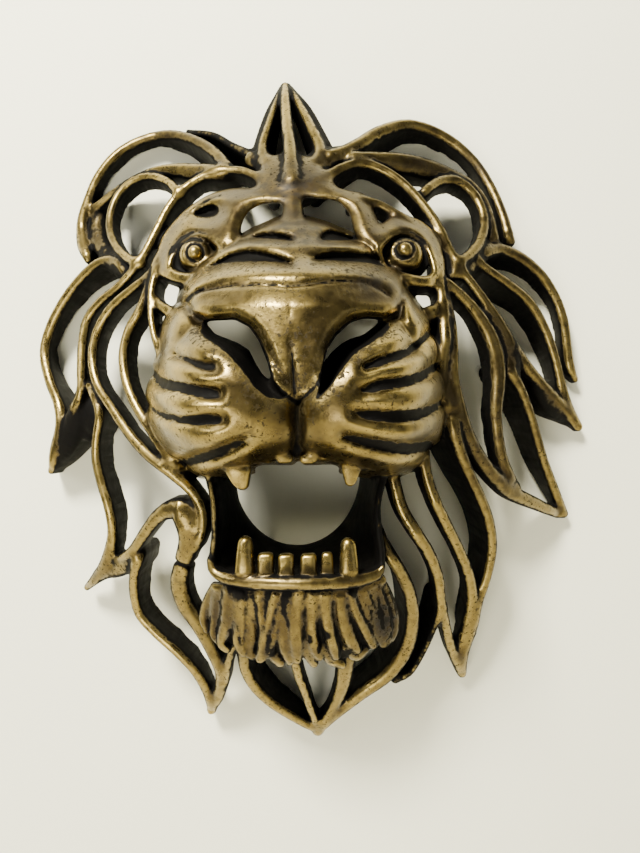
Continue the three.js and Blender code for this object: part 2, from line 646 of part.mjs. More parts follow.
// The gum carries the upper teeth under the pads.
const gumRoute = [[226, 462, 4.5], [262, 450, 3.5], [297, 443, 3.5], [330, 450, 3.5], [364, 460, 4.5]];

function gum() {
  return sweep(gumRoute, () => lipRise + gumLift, (rise) => rise - gumDepth);
}

function ballAt(across, down, rise, radius, slices) {
  const centre = place(across, down, rise);
  const ball = new THREE.SphereGeometry(radius, slices, Math.round(slices / 2));
  return solid(ball.translate(centre.x, centre.y, centre.z));
}

// Eyes: [across, down] of the eyeball and of its pupil.
const eyes = [[[193, 256], [195, 250]], [[406, 254], [404, 249]]];
const eyeRise = browRise - eyeDrop;
const eyeSlices = { ball: 12, pupil: 6 };
const pupilSunk = 1;

function eye([[across, down], [pupilAcross, pupilDown]]) {
  const pupilRise = eyeRise + eyeballRadius - pupilSunk;
  return ballAt(across, down, eyeRise, eyeballRadius, eyeSlices.ball)
    .add(ballAt(pupilAcross, pupilDown, pupilRise, pupilRadius, eyeSlices.pupil));
}

function meshOf(name, made, material) {
  const { vertProperties, triVerts } = made.getMesh();
  const geometry = new THREE.BufferGeometry();
  geometry.setAttribute("position", new THREE.BufferAttribute(new Float32Array(vertProperties), 3));
  geometry.setIndex(new THREE.BufferAttribute(new Uint32Array(triVerts), 1));
  geometry.computeVertexNormals();
  const mesh = new THREE.Mesh(geometry, material);
  mesh.name = name;
  return mesh;
}

const mane = joinAll(strands.map(maneStrand)).subtract(mouthSpace(-slotClearance, lipRise));
const casting = joinAll([
  mane,
  face(),
  mouthTube(),
  throatFill(),
  gum(),
  ...tufts.map(tuft),
  ...teeth.map(tooth),
  ...eyes.map(eye),
]);

const antiqueBrass = new THREE.MeshStandardMaterial({ color: 0x94804a, roughness: 0.42, metalness: 0.85 });
const mask = new THREE.Group();
mask.add(meshOf("lion_mask", casting, antiqueBrass));

export default mask;
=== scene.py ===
import math
import time

import bpy
import numpy as np
import openvdb
from mathutils import Matrix, Vector


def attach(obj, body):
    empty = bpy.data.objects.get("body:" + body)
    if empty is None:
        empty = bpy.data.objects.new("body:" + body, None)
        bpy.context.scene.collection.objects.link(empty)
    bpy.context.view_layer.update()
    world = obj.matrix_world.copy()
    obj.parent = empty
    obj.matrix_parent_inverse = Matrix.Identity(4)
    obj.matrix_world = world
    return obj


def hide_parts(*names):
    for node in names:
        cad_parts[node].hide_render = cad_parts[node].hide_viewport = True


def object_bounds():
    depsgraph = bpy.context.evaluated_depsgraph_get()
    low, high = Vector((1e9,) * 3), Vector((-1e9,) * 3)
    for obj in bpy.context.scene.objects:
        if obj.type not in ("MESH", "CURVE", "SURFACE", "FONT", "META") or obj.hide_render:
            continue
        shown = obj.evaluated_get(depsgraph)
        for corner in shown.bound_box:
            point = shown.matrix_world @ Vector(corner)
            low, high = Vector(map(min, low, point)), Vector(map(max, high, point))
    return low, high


startTime = time.time()


def report(stage):
    print(f"{stage}: {time.time() - startTime:.1f} s")


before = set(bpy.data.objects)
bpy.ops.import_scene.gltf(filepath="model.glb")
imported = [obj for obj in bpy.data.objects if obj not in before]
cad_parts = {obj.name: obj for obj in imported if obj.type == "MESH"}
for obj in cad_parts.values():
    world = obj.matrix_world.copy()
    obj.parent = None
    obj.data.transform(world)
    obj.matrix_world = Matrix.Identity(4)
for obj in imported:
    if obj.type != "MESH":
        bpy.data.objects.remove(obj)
cadBox = [[round(v, 6) for v in corner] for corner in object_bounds()]
report("frame loaded")

# The drawing of the mask as seen from one point in front of it, the same as in the part's source.
# A drawing point is (across, down) in drawing units; rise is the height above the wall in millimetres.
drawing = {
    "maskHeight": 400.0,  # mm, crest tip to beard tip
    "drawnHeight": 631.0,
    "sightAcross": 320.0,
    "sightDown": 426.0,
    "sightDistance": 660.0,
    "hangAcross": 290.0,  # the origin, at the wall
    "hangDown": 148.0,
    "tilt": math.radians(2.9),
}
unit = drawing["maskHeight"] / drawing["drawnHeight"]
sightMm = drawing["sightDistance"] * unit
sightAcross, sightDown = drawing["sightAcross"], drawing["sightDown"]
hangAcross, hangDown = drawing["hangAcross"], drawing["hangDown"]
tiltCos, tiltSin = math.cos(drawing["tilt"]), math.sin(drawing["tilt"])


def placeAt(across, down, rise):  # drawing point and rise to x, z in mm
    share = 1 - rise / sightMm
    right = (sightAcross - hangAcross + (across - sightAcross) * share) * unit
    up = (hangDown - sightDown - (down - sightDown) * share) * unit
    return right * tiltCos + up * tiltSin, up * tiltCos - right * tiltSin


def drawnAt(x, z, rise):  # and back
    right, up = x * tiltCos - z * tiltSin, x * tiltSin + z * tiltCos
    share = 1 - rise / sightMm
    across = sightAcross + (right / unit - sightAcross + hangAcross) / share
    return across, sightDown - (up / unit + sightDown - hangDown) / share


def mmPerUnit(rise):  # a drawing unit at this rise
    return unit * (1 - rise / sightMm)


# The mane is a dome: low at its oval outline, high round the face.
dome = {
    "across": 305.0, "down": 410.0, "halfWidth": 265.0, "halfHeight": 325.0, "faceShare": 0.6,
    "rimRise": 17.0, "browRise": 82.0, "lowest": 13.0,
}


def domeRise(across, down):
    wide = (across - dome["across"]) / dome["halfWidth"]
    high = (down - dome["down"]) / dome["halfHeight"]
    share = np.minimum((1 - np.hypot(wide, high) ** 2) / (1 - dome["faceShare"] ** 2), 1.05)
    return np.maximum(dome["lowest"], dome["rimRise"] + (dome["browRise"] - dome["rimRise"]) * share)


# The casting is built as a field of distances to its skin, in mm, on a grid of small cells.
sculpt = {
    "cell": 1.1,
    "margin": 5.0,
    "mostTriangles": 196000,
    "far": 20.0,
    "nearMm": 3.0,  # reach of the mask for inner corners and edges
}
cell = sculpt["cell"]
lowCorner = np.array(cadBox[0]) * 1000 - sculpt["margin"]
highCorner = np.array(cadBox[1]) * 1000 + sculpt["margin"]
gridX, gridY, gridZ = [np.arange(lowCorner[i], highCorner[i], cell, dtype=np.float32) for i in range(3)]
gridRise = -gridY
dist = np.full((len(gridX), len(gridY), len(gridZ)), sculpt["far"], dtype=np.float32)
depth = np.zeros_like(dist)  # how far below the painted front, in mm


def spanOf(values, low, high):
    order = values if values[0] < values[-1] else -values
    if values[0] > values[-1]:
        low, high = -high, -low
    first = max(int(np.searchsorted(order, low)) - 1, 0)
    return slice(first, min(int(np.searchsorted(order, high)) + 1, len(values)))


def windowOf(xs, rises, zs, pad):  # the part of the grid round these places in mm
    return (
        spanOf(gridX, np.min(xs) - pad, np.max(xs) + pad),
        spanOf(gridRise, np.min(rises) - pad, np.max(rises) + pad),
        spanOf(gridZ, np.min(zs) - pad, np.max(zs) + pad),
    )


def axesOf(window):
    x, rise, z = gridX[window[0]], gridRise[window[1]], gridZ[window[2]]
    return x[:, None, None], rise[None, :, None], z[None, None, :]


def blendIn(window, distance, below, soft):  # joins a form on with a soft seam
    old = dist[window]
    mix = np.clip(0.5 + 0.5 * (old - distance) / soft, 0, 1)
    depth[window] += (below - depth[window]) * mix
    dist[window] = old + (distance - old) * mix - soft * mix * (1 - mix)


def cutOut(window, distance, below):  # takes a form away
    old = dist[window]
    depth[window] = np.where(-distance > old, np.maximum(below, depth[window]), depth[window])
    dist[window] = np.maximum(old, -distance)


def smoothStep(value, low, high):
    t = np.clip((value - low) / (high - low), 0, 1)
    return t * t * (3 - 2 * t)


def hill(value, width):
    return np.exp(-((value / width) ** 2))


def softMax(first, second, width):
    mix = np.clip(0.5 + 0.5 * (first - second) / width, 0, 1)
    return second + (first - second) * mix + width * mix * (1 - mix)


def softMin(first, second, width):
    return -softMax(-first, -second, width)


def blendCorners(table, corner, part):  # reads a 3-D table between its eight nearest entries
    share = [(1 - p, p) for p in part]
    total = 0
    for step in range(8):
        sides = (step & 1, (step >> 1) & 1, step >> 2)
        entry = tuple((c + side) % size for c, side, size in zip(corner, sides, table.shape))
        total = total + share[0][sides[0]] * share[1][sides[1]] * share[2][sides[2]] * table[entry]
    return total


noiseLattice = np.random.RandomState(7).rand(48, 48, 48).astype(np.float32) * 2 - 1


def noiseAt(x, z, size, level=0.0):  # smooth noise, -1 to 1, in lumps of this size; level picks another one
    corner, part = [], []
    for value in (x, 0 * x + level, z):
        scaled = np.asarray(value, dtype=np.float32) / size + 500.0
        whole = np.floor(scaled)
        corner.append(whole.astype(np.int32))
        part.append(smoothStep(scaled - whole, 0, 1))
    return blendCorners(noiseLattice, corner, part)


def lengthsAlong(rows):
    return np.concatenate([[0], np.cumsum(np.hypot(*np.diff(rows[:, :2], axis=0).T))])


def curveThrough(points, spacing):  # Catmull-Rom through rows of numbers; even steps along the first two
    rows = np.array(points, dtype=float)
    rows = np.vstack([2 * rows[0] - rows[1], rows, 2 * rows[-1] - rows[-2]])
    made = []
    for a, b, c, d in zip(rows[:-3], rows[1:-2], rows[2:-1], rows[3:]):
        square, cube = 2 * a - 5 * b + 4 * c - d, 3 * b - a - 3 * c + d
        for t in np.linspace(0, 1, 12, endpoint=False):
            made.append(0.5 * (2 * b + (c - a) * t + square * t**2 + cube * t**3))
    made = np.array(made + [rows[-2]])
    along = lengthsAlong(made)
    steps = np.linspace(0, along[-1], max(int(along[-1] / spacing), 3))
    return np.array([np.interp(steps, along, column) for column in made.T]).T


def toSegment(px, py, ex, ey):  # share along a segment and distance from it, for offsets from its start
    t = np.clip((px * ex + py * ey) / max(ex * ex + ey * ey, 1e-6), 0, 1)
    return t, np.hypot(px - t * ex, py - t * ey)


# A strand is a standing wall with a rounded front edge. It follows its route seen from the front.
strandLook = {
    "depth": 15.0,  # mm, front to back, at the rim
    "depthGain": 0.1,  # and this much more for each mm off the wall
    "roundest": 4.2,  # mm, the deepest rounding of a front edge
    "spacing": 4.5,  # drawing units between steps
    "ragged": 2.4,  # mm, how uneven the sawn-off back edges are
    "raggedSize": 7.0,  # mm, size of that unevenness
    "plainRadius": 16.0,  # mm round the mount where the back edges stay even
    "plainFade": 8.0,  # mm over which they turn ragged
    "soft": 3.0,  # mm, how softly strands run together
    "slim": 0.93,  # share of the traced half width
    "endDrop": 3.8,  # mm that the ends dip, so that they sink into what they meet
    "endLength": 10.0,  # drawing units over which they dip
    "reach": 6.0,  # mm beyond its sides that a strand is worked out for
    "far": 30.0,
}


def sweep(
    route, riseAt, backAt, soft=strandLook["soft"], ragged=strandLook["ragged"],
    roundest=strandLook["roundest"], spacing=strandLook["spacing"], darker=0.0, endDrop=0.0,
    shade=8.0,  # how fast the paint darkens down the sides of the front edge
):
    steps = curveThrough(route, spacing)
    along = lengthsAlong(steps)
    toEnd = np.clip(1 - np.minimum(along, along[-1] - along) / strandLook["endLength"], 0, 1)
    rise = riseAt(steps[:, 0], steps[:, 1]) * np.ones(len(steps)) - endDrop * toEnd**2
    back = backAt(rise) * np.ones(len(steps))
    x, z = placeAt(steps[:, 0], steps[:, 1], rise)
    half = np.maximum(steps[:, 2], 0.4)
    reach = strandLook["reach"] + half.max()
    window = windowOf(x, np.concatenate([rise, back]), z, reach)
    flatX, flatZ = gridX[window[0]], gridZ[window[2]]
    found = [
        np.full((len(flatX), len(flatZ)), value, dtype=np.float32)
        for value in (strandLook["far"], strandLook["far"], half[0], rise[0], back[0])
    ]
    for i in range(len(steps) - 1):
        span = (
            spanOf(flatX, min(x[i], x[i + 1]) - reach, max(x[i], x[i + 1]) + reach),
            spanOf(flatZ, min(z[i], z[i + 1]) - reach, max(z[i], z[i + 1]) + reach),
        )
        px, pz = flatX[span[0]][:, None] - x[i], flatZ[span[1]][None, :] - z[i]
        t, away = toSegment(px, pz, x[i + 1] - x[i], z[i + 1] - z[i])
        halfHere, riseHere, backHere = [v[i] + (v[i + 1] - v[i]) * t for v in (half, rise, back)]
        nearer = away - halfHere < found[0][span]
        for values, here in zip(found, (away - halfHere, away, halfHere, riseHere, backHere)):
            values[span] = np.where(nearer, here, values[span])
    _, side, width, front, behind = found
    uneven = np.clip(noiseAt(flatX[:, None], flatZ[None, :], strandLook["raggedSize"]) + 0.35, 0, 1) * ragged
    fromMount = np.hypot(flatX[:, None], flatZ[None, :]) - strandLook["plainRadius"]
    behind = behind + uneven * np.clip(fromMount / strandLook["plainFade"], 0, 1)
    cap = np.minimum(width, roundest)
    side, width, cap, front, behind = [v[:, None, :] for v in (side, width, cap, front, behind)]
    rises = gridRise[window[1]][None, :, None]
    rounded = np.hypot(side, np.maximum(rises - (front - cap), 0) * width / cap) - width
    # Darker down the rounded sides of the front: black paint below the rubbed gold, and painted shade where
    # the rounding turns from the light
    below = shade * np.clip((front - rises) / cap - 0.06, 0, 8) + darker
    blendIn(window, np.maximum(rounded, behind - rises), below, soft)


# Strands: name, lift off the dome in mm, back down to the wall or not, (across, down, half width in mm).
# The last two are thin webs that fill the corners where strands meet, a little below their fronts.
strands = [
    ("crest middle", 8, True, [(285, 84, 2.2), (285, 102, 3.2), (287, 125, 3.6), (290, 150, 4.2),
        (291, 184, 6)]),
    ("crest left", 0, True, [(283, 85, 2), (275, 104, 2.2), (268, 124, 2.4), (262, 147, 3),
        (268, 166, 4.5)]),
    ("crest right", 0, True, [(288, 85, 2), (299, 103, 2.6), (310, 124, 3.2), (320, 147, 3.8),
        (315, 166, 4.5)]),
    ("crest left edge", -7, True, [(281, 88, 1.6), (268, 111, 1.8), (259, 138, 2.4), (256, 154, 3.4)]),
    ("crest right edge", -7, True, [(290, 87, 1.6), (308, 107, 1.8), (322, 133, 2.4), (330, 152, 3.6)]),
    ("left ear arc", 0, True, [(229, 170, 4.2), (215, 152, 3.6), (197, 140, 3.4), (171, 133, 3.4),
        (143, 138, 3.4), (117, 152, 3.4), (98, 174, 3.2), (87, 199, 3.4), (81, 222, 4.2), (82, 243, 4.8),
        (87, 259, 2.6)]),
    ("left ear back", -8, True, [(188, 131, 2), (213, 134, 2.2), (231, 144, 2.4), (247, 152, 3.4),
        (264, 160, 5)]),
    ("left ear band", 0, False, [(226, 171, 5), (200, 170, 5.5), (177, 168, 4.6), (156, 169, 3),
        (136, 177, 2.6), (115, 190, 2.4), (99, 203, 2.8), (86, 213, 3.4)]),
    ("left ring", 3, False, [(180, 193, 2.6), (166, 180, 2.6), (149, 175, 2.6), (132, 180, 2.6),
        (118, 193, 2.7), (110, 211, 2.8), (109, 230, 2.8), (116, 247, 2.8), (128, 258, 2.8),
        (140, 263, 2.8)]),
    ("left ring web", -7, False, [(107, 196, 3), (97, 216, 4.6), (97, 239, 5.4), (109, 257, 5.2),
        (124, 268, 4.4)]),
    ("left long strand", 0, False, [(272, 193, 3.2), (261, 179, 2.7), (243, 170, 2.7), (221, 170, 2.7),
        (200, 177, 2.7), (181, 190, 2.7), (167, 208, 2.7), (155, 231, 2.7), (143, 254, 2.8),
        (131, 271, 2.7), (116, 287, 2.7), (99, 301, 2.8), (86, 319, 3), (81, 343, 3), (80, 369, 3),
        (79, 393, 2.5), (70, 415, 2.6)]),
    ("left second strand", 0, False, [(161, 257, 2.4), (149, 274, 2.5), (130, 289, 2.6), (110, 307, 2.9),
        (96, 331, 3), (91, 357, 3), (96, 384, 3), (112, 410, 3), (129, 435, 3.2), (148, 456, 3.4),
        (170, 473, 3.4), (190, 491, 3), (201, 510, 2.7), (202, 530, 2.5), (195, 547, 2.6)]),
    ("left third strand", 0, False, [(151, 271, 2.4), (146, 290, 2.5), (139, 309, 2.8), (128, 329, 2.9),
        (122, 354, 2.9), (125, 381, 2.9), (135, 406, 2.9), (149, 429, 3), (164, 452, 3),
        (182, 472, 3.2)]),
    ("left face edge", 2, False, [(158, 262, 3), (151, 288, 2.2), (150, 312, 2), (153, 334, 2),
        (160, 354, 2.6)]),
    ("left cheek bar", 0, False, [(150, 297, 3), (163, 307, 3), (175, 315, 3.6), (190, 322, 4.2)]),
    ("left lower lid", 4, False, [(158, 270, 2.4), (175, 277, 2.5), (196, 280, 3.6)]),
    ("left lock rim", 0, True, [(124, 270, 2.6), (112, 259, 2.7), (97, 262, 3), (79, 278, 3.2),
        (62, 301, 3.4), (49, 327, 3.6), (43, 353, 3.6), (48, 380, 3.5), (57, 404, 3.6), (60, 426, 4.6),
        (54, 451, 4.4), (50, 471, 2.4)]),
    ("left lock tail", -4, True, [(80, 388, 3.4), (77, 412, 6.4), (68, 437, 7), (57, 461, 4)]),
    ("left lock web", -13, True, [(87, 384, 4), (93, 408, 5.6), (88, 434, 5)]),
    ("left lower rim", 0, True, [(89, 386, 3), (98, 412, 3), (95, 440, 2.7), (95, 461, 3),
        (101, 486, 3.2), (108, 510, 3.2), (111, 534, 3.2), (107, 557, 4.2), (100, 573, 4.4),
        (86, 588, 2.2)]),
    ("left lower tail", -3, True, [(100, 574, 4), (116, 570, 5.6), (137, 562, 4.6)]),
    ("left loop", 0, False, [(117, 561, 2.6), (131, 552, 3.2), (144, 533, 3.5), (158, 516, 4.2),
        (176, 510, 6.4), (187, 522, 8), (188, 541, 6.4), (182, 562, 5.2), (178, 585, 5.4), (184, 606, 5.2),
        (198, 628, 4.6), (211, 652, 4.2), (221, 676, 4.2), (218, 697, 3.8),
        (211, 711, 2.4)]),
    ("left bottom rim", 0, True, [(138, 555, 4.2), (133, 575, 3.1), (133, 595, 3.1), (139, 616, 3.1),
        (156, 635, 3.1), (176, 653, 3.1), (194, 672, 3.1), (206, 692, 3.4), (211, 711, 2.4)]),
    ("left beard strand", 0, False, [(240, 590, 3), (236, 622, 2.4), (232, 648, 2.2), (223, 681, 3)]),
    ("bottom left rim", 0, True, [(258, 560, 5), (248, 612, 4.4), (243, 658, 3.7), (250, 682, 3.6),
        (267, 701, 3.5), (291, 717, 3.4), (318, 732, 2.8)]),
    ("bottom left strand", 0, False, [(284, 565, 4.4), (288, 630, 3.4), (297, 672, 2.9), (304, 692, 2.7),
        (311, 712, 2.5), (318, 730, 2.4)]),
    ("bottom right strand", 0, False, [(344, 565, 6.5), (349, 630, 6.5), (345, 674, 5.2), (340, 695, 4.2),
        (331, 713, 3.2), (319, 729, 2.4)]),
    ("bottom right rim", 0, True, [(377, 528, 3.4), (387, 552, 3.4), (401, 574, 3.9), (411, 598, 3.9),
        (413, 625, 4.3), (406, 652, 4.7), (388, 676, 4.9), (362, 695, 4.5), (338, 714, 3.8),
        (318, 732, 2.8)]),
    ("bottom outer fin", -2, True, [(443, 606, 2.4), (434, 630, 1.9), (424, 652, 1.9), (411, 673, 2),
        (396, 680, 3.4)]),
    ("right jaw strand", 0, False, [(390, 462, 4), (396, 488, 3.7), (403, 511, 3.7), (416, 533, 3.7),
        (430, 555, 3.5), (439, 579, 3.3), (442, 605, 3.3), (447, 630, 3.2), (453, 652, 3.2),
        (462, 673, 2.6)]),
    ("right middle strand", 0, False, [(423, 444, 3.6), (427, 474, 3.3), (435, 499, 3.3), (447, 525, 3.3),
        (460, 551, 3.3), (470, 577, 3.5), (473, 601, 3.8), (470, 627, 5.2), (463, 653, 5.2),
        (463, 675, 2.4)]),
    ("right bottom rim", 0, True, [(451, 410, 4.4), (459, 445, 3.7), (469, 471, 3.3), (481, 497, 3.3),
        (490, 522, 3.3), (493, 548, 3.3), (488, 576, 3.2), (479, 602, 3.6), (471, 632, 4.6)]),
    ("right face strand", 0, False, [(446, 292, 2.4), (453, 322, 2.3), (455, 350, 2.4), (455, 378, 2.9),
        (459, 403, 4.2), (466, 429, 4.6), (478, 453, 4.2), (494, 475, 4.4), (513, 493, 4.8),
        (536, 504, 4.2), (559, 514, 3.2)]),
    ("right face edge", 1, False, [(438, 262, 3.2), (441, 285, 2.8), (444, 310, 3.4), (446, 340, 3.6),
        (443, 368, 3.6), (444, 392, 4.4), (452, 414, 4.6)]),
    ("right broad strand", 0, False, [(441, 277, 2.8), (458, 291, 3.2), (475, 309, 3.8), (490, 333, 4.8),
        (498, 358, 5.2), (499, 385, 4.8), (497, 411, 4.1), (499, 437, 3.8), (504, 462, 4),
        (514, 487, 4.8)]),
    ("right broad web", -3, False, [(484, 306, 4.4), (500, 335, 6.4), (510, 362, 6.8), (517, 381, 4)]),
    ("right long strand", 0, False, [(298, 189, 4.6), (320, 180, 3.8), (339, 168, 3.2), (360, 162, 3.1),
        (382, 168, 3.1), (403, 182, 3.1), (423, 203, 3.1), (439, 226, 3.1), (450, 249, 3.1),
        (463, 270, 2.9), (480, 293, 3.1), (497, 318, 3.8), (511, 342, 4.2), (527, 365, 4),
        (545, 386, 3.6), (562, 405, 4.2), (579, 427, 2.4)]),
    ("right lock rim", 0, True, [(474, 256, 3), (489, 269, 2.9), (509, 283, 3.1), (529, 300, 3.3),
        (543, 322, 3.3), (553, 347, 3.3), (560, 373, 3.3), (566, 399, 4.2), (579, 426, 2.6)]),
    ("right lock tail", -5, True, [(533, 380, 3.4), (550, 402, 6.2), (567, 416, 5.4)]),
    ("right outer rim", 0, True, [(482, 254, 3.6), (500, 248, 3.6), (521, 256, 3.8), (542, 274, 3.8),
        (557, 298, 3.7), (565, 322, 3.6), (568, 346, 3.5), (571, 366, 3.5), (576, 379, 2.4)]),
    ("right lower rim", 0, True, [(508, 366, 4.6), (520, 385, 3.2), (529, 407, 3), (537, 433, 3),
        (545, 461, 3.1), (555, 488, 3.3), (565, 514, 3.2)]),
    ("right ear arc", 0, True, [(324, 158, 6), (342, 151, 4.6), (360, 142, 4.6), (380, 130, 4.6),
        (405, 123, 4), (430, 128, 3.7), (455, 142, 3.7), (477, 163, 3.5), (493, 189, 3.5),
        (504, 215, 3.5), (511, 240, 3.8)]),
    ("right ear band", 0, False, [(346, 157, 5), (374, 158, 5.4), (400, 161, 6.6), (426, 166, 6.6),
        (450, 173, 4.8), (470, 183, 3.6), (484, 200, 3.4), (491, 222, 4.2), (494, 243, 4.8)]),
    ("right ring", 3, False, [(423, 193, 3.3), (436, 182, 3.3), (452, 178, 3.3), (467, 185, 3.3),
        (479, 200, 3.3), (485, 219, 3.3), (482, 238, 3.3), (472, 252, 3.3), (457, 264, 3.3)]),
    ("right ring knot", -2, False, [(490, 238, 4.4), (480, 253, 4.6), (467, 267, 4.8), (452, 275, 3.4)]),
    ("right eye slip", 1, False, [(352, 199, 3), (376, 202, 2.6), (396, 213, 2.8), (417, 228, 3.4)]),
    ("right lower lid", 4, False, [(396, 278, 4.6), (414, 280, 3.4), (436, 283, 2.8)]),
    ("right cheek bar", 0, False, [(408, 323, 5), (426, 315, 4.6), (444, 305, 3.4)]),
    ("left ring foot", -3.5, False, [(106, 256, 5), (118, 265, 6), (131, 270, 5.4)]),
    ("right ring foot", -3, False, [(450, 262, 4.6), (462, 267, 5.6), (476, 262, 6)]),
]
# Strands and webs painted darker, with how much: paint that the brass hardly reached, and on the sunken lock
# webs and tails also painted shade
darkPaintAndShadeStrands = {
    "left lock web": 9.0,
    "left lock tail": 4.6,
    "left lower tail": 1.2,
    "left ring web": 1.5,
    "left ring foot": 1.8,
    "left ear back": 2.6,
    "right lock tail": 4.0,
    "right broad web": 2.6,
    "right ring knot": 0.8,
    "right ring foot": 1.4,
    "crest left edge": 2.2,
    "crest right edge": 2.6,
    "bottom outer fin": 2.0,
}
# Rims whose back edge stands off the wall, as a share of their rise
raisedBacks = {"left lower rim": 0.5, "left bottom rim": 0.3, "left lower tail": 0.3}


def maneStrand(name, lift, wall, route):
    def backAt(rise):
        if wall:
            return raisedBacks.get(name, 0.0) * rise
        return np.maximum(0, rise - strandLook["depth"] - strandLook["depthGain"] * rise)

    sweep(
        [(across, down, half * strandLook["slim"]) for across, down, half in route],
        lambda across, down: domeRise(across, down) + lift, backAt,
        darker=darkPaintAndShadeStrands.get(name, 0.0), endDrop=strandLook["endDrop"],
    )


for strand in strands:
    maneStrand(*strand)
report("mane strands")

# Face, brow and eyes are drawn as maps over the drawing, so that each form lies where it is seen.
faceMap = {"acrossFrom": 132.0, "acrossTo": 460.0, "downFrom": 136.0, "downTo": 500.0, "step": 0.5}
mapAcross = np.arange(faceMap["acrossFrom"], faceMap["acrossTo"], faceMap["step"], dtype=np.float32)
mapDown = np.arange(faceMap["downFrom"], faceMap["downTo"], faceMap["step"], dtype=np.float32)
acrossMap, downMap = np.meshgrid(mapAcross, mapDown, indexing="ij")


def blurMap(values, passes):
    for _ in range(passes):
        for axis in (0, 1):
            values = (np.roll(values, 1, axis) + 2 * values + np.roll(values, -1, axis)) / 4
    return values


def outlineDistance(points, across=acrossMap, down=downMap):  # drawing units, positive inside the outline
    xs, ys = np.array(points, dtype=np.float32).T
    nearest = np.full(across.shape, 1e6, dtype=np.float32)
    inside = np.zeros(across.shape, dtype=bool)
    for x0, y0, x1, y1 in zip(xs, ys, np.roll(xs, -1), np.roll(ys, -1)):
        ex, ey = x1 - x0, y1 - y0
        nearest = np.minimum(nearest, toSegment(across - x0, down - y0, ex, ey)[1])
        if y0 != y1:
            inside ^= ((y0 > down) != (y1 > down)) & (across < x0 + (down - y0) * ex / ey)
    return np.where(inside, nearest, -nearest)


def roundOutline(points):  # the same outline with its corners rounded
    rows = curveThrough(points[-2:] + points + points[:2], 3.0)
    away = np.hypot(rows[:, 0] - points[0][0], rows[:, 1] - points[0][1])
    half = len(rows) // 2
    return rows[np.argmin(away[:half]):half + np.argmin(away[half:])]


def lineDistance(route):  # drawing units, negative inside a line whose half width is the third number
    steps = curveThrough(route, 4.0)
    nearest = np.full(acrossMap.shape, 1e6, dtype=np.float32)
    for (x0, y0, w0), (x1, y1, w1) in zip(steps[:-1], steps[1:]):
        t, away = toSegment(acrossMap - x0, downMap - y0, x1 - x0, y1 - y0)
        nearest = np.minimum(nearest, away - w0 - (w1 - w0) * t)
    return nearest


def lumpMap(centre, outline, base, top, power=2.2):  # a rounded lump with a traced outline
    dx, dy = acrossMap - centre[0], downMap - centre[1]
    ring = roundOutline(outline)
    ringX, ringY = ring[:, 0] - centre[0], ring[:, 1] - centre[1]
    angles = np.arctan2(ringY, ringX)
    order = np.argsort(angles)
    radius = np.interp(np.arctan2(dy, dx), angles[order], np.hypot(ringY, ringX)[order], period=2 * math.pi)
    reach = np.hypot(dx, dy) / radius
    inside = base + (top - base) * np.maximum(1 - np.minimum(reach, 1) ** power, 0) ** 0.5
    return np.where(reach < 1, inside, base - 7.0 * (reach - 1) * radius)


def lookUp(table, across, down):
    u = np.clip((across - faceMap["acrossFrom"]) / faceMap["step"], 0, table.shape[0] - 1.01)
    v = np.clip((down - faceMap["downFrom"]) / faceMap["step"], 0, table.shape[1] - 1.01)
    i, j = u.astype(np.int32), v.astype(np.int32)
    u, v = u - i, v - j
    return (
        table[i, j] * (1 - u) * (1 - v) + table[i + 1, j] * u * (1 - v)
        + table[i, j + 1] * (1 - u) * v + table[i + 1, j + 1] * u * v
    )


def windowOnDrawing(acrossSpan, downSpan, riseSpan):
    corners = [
        placeAt(across, down, rise) for across in acrossSpan for down in downSpan for rise in riseSpan
    ]
    xs, zs = np.array(corners).T
    return windowOf(xs, riseSpan, zs, 2.0)


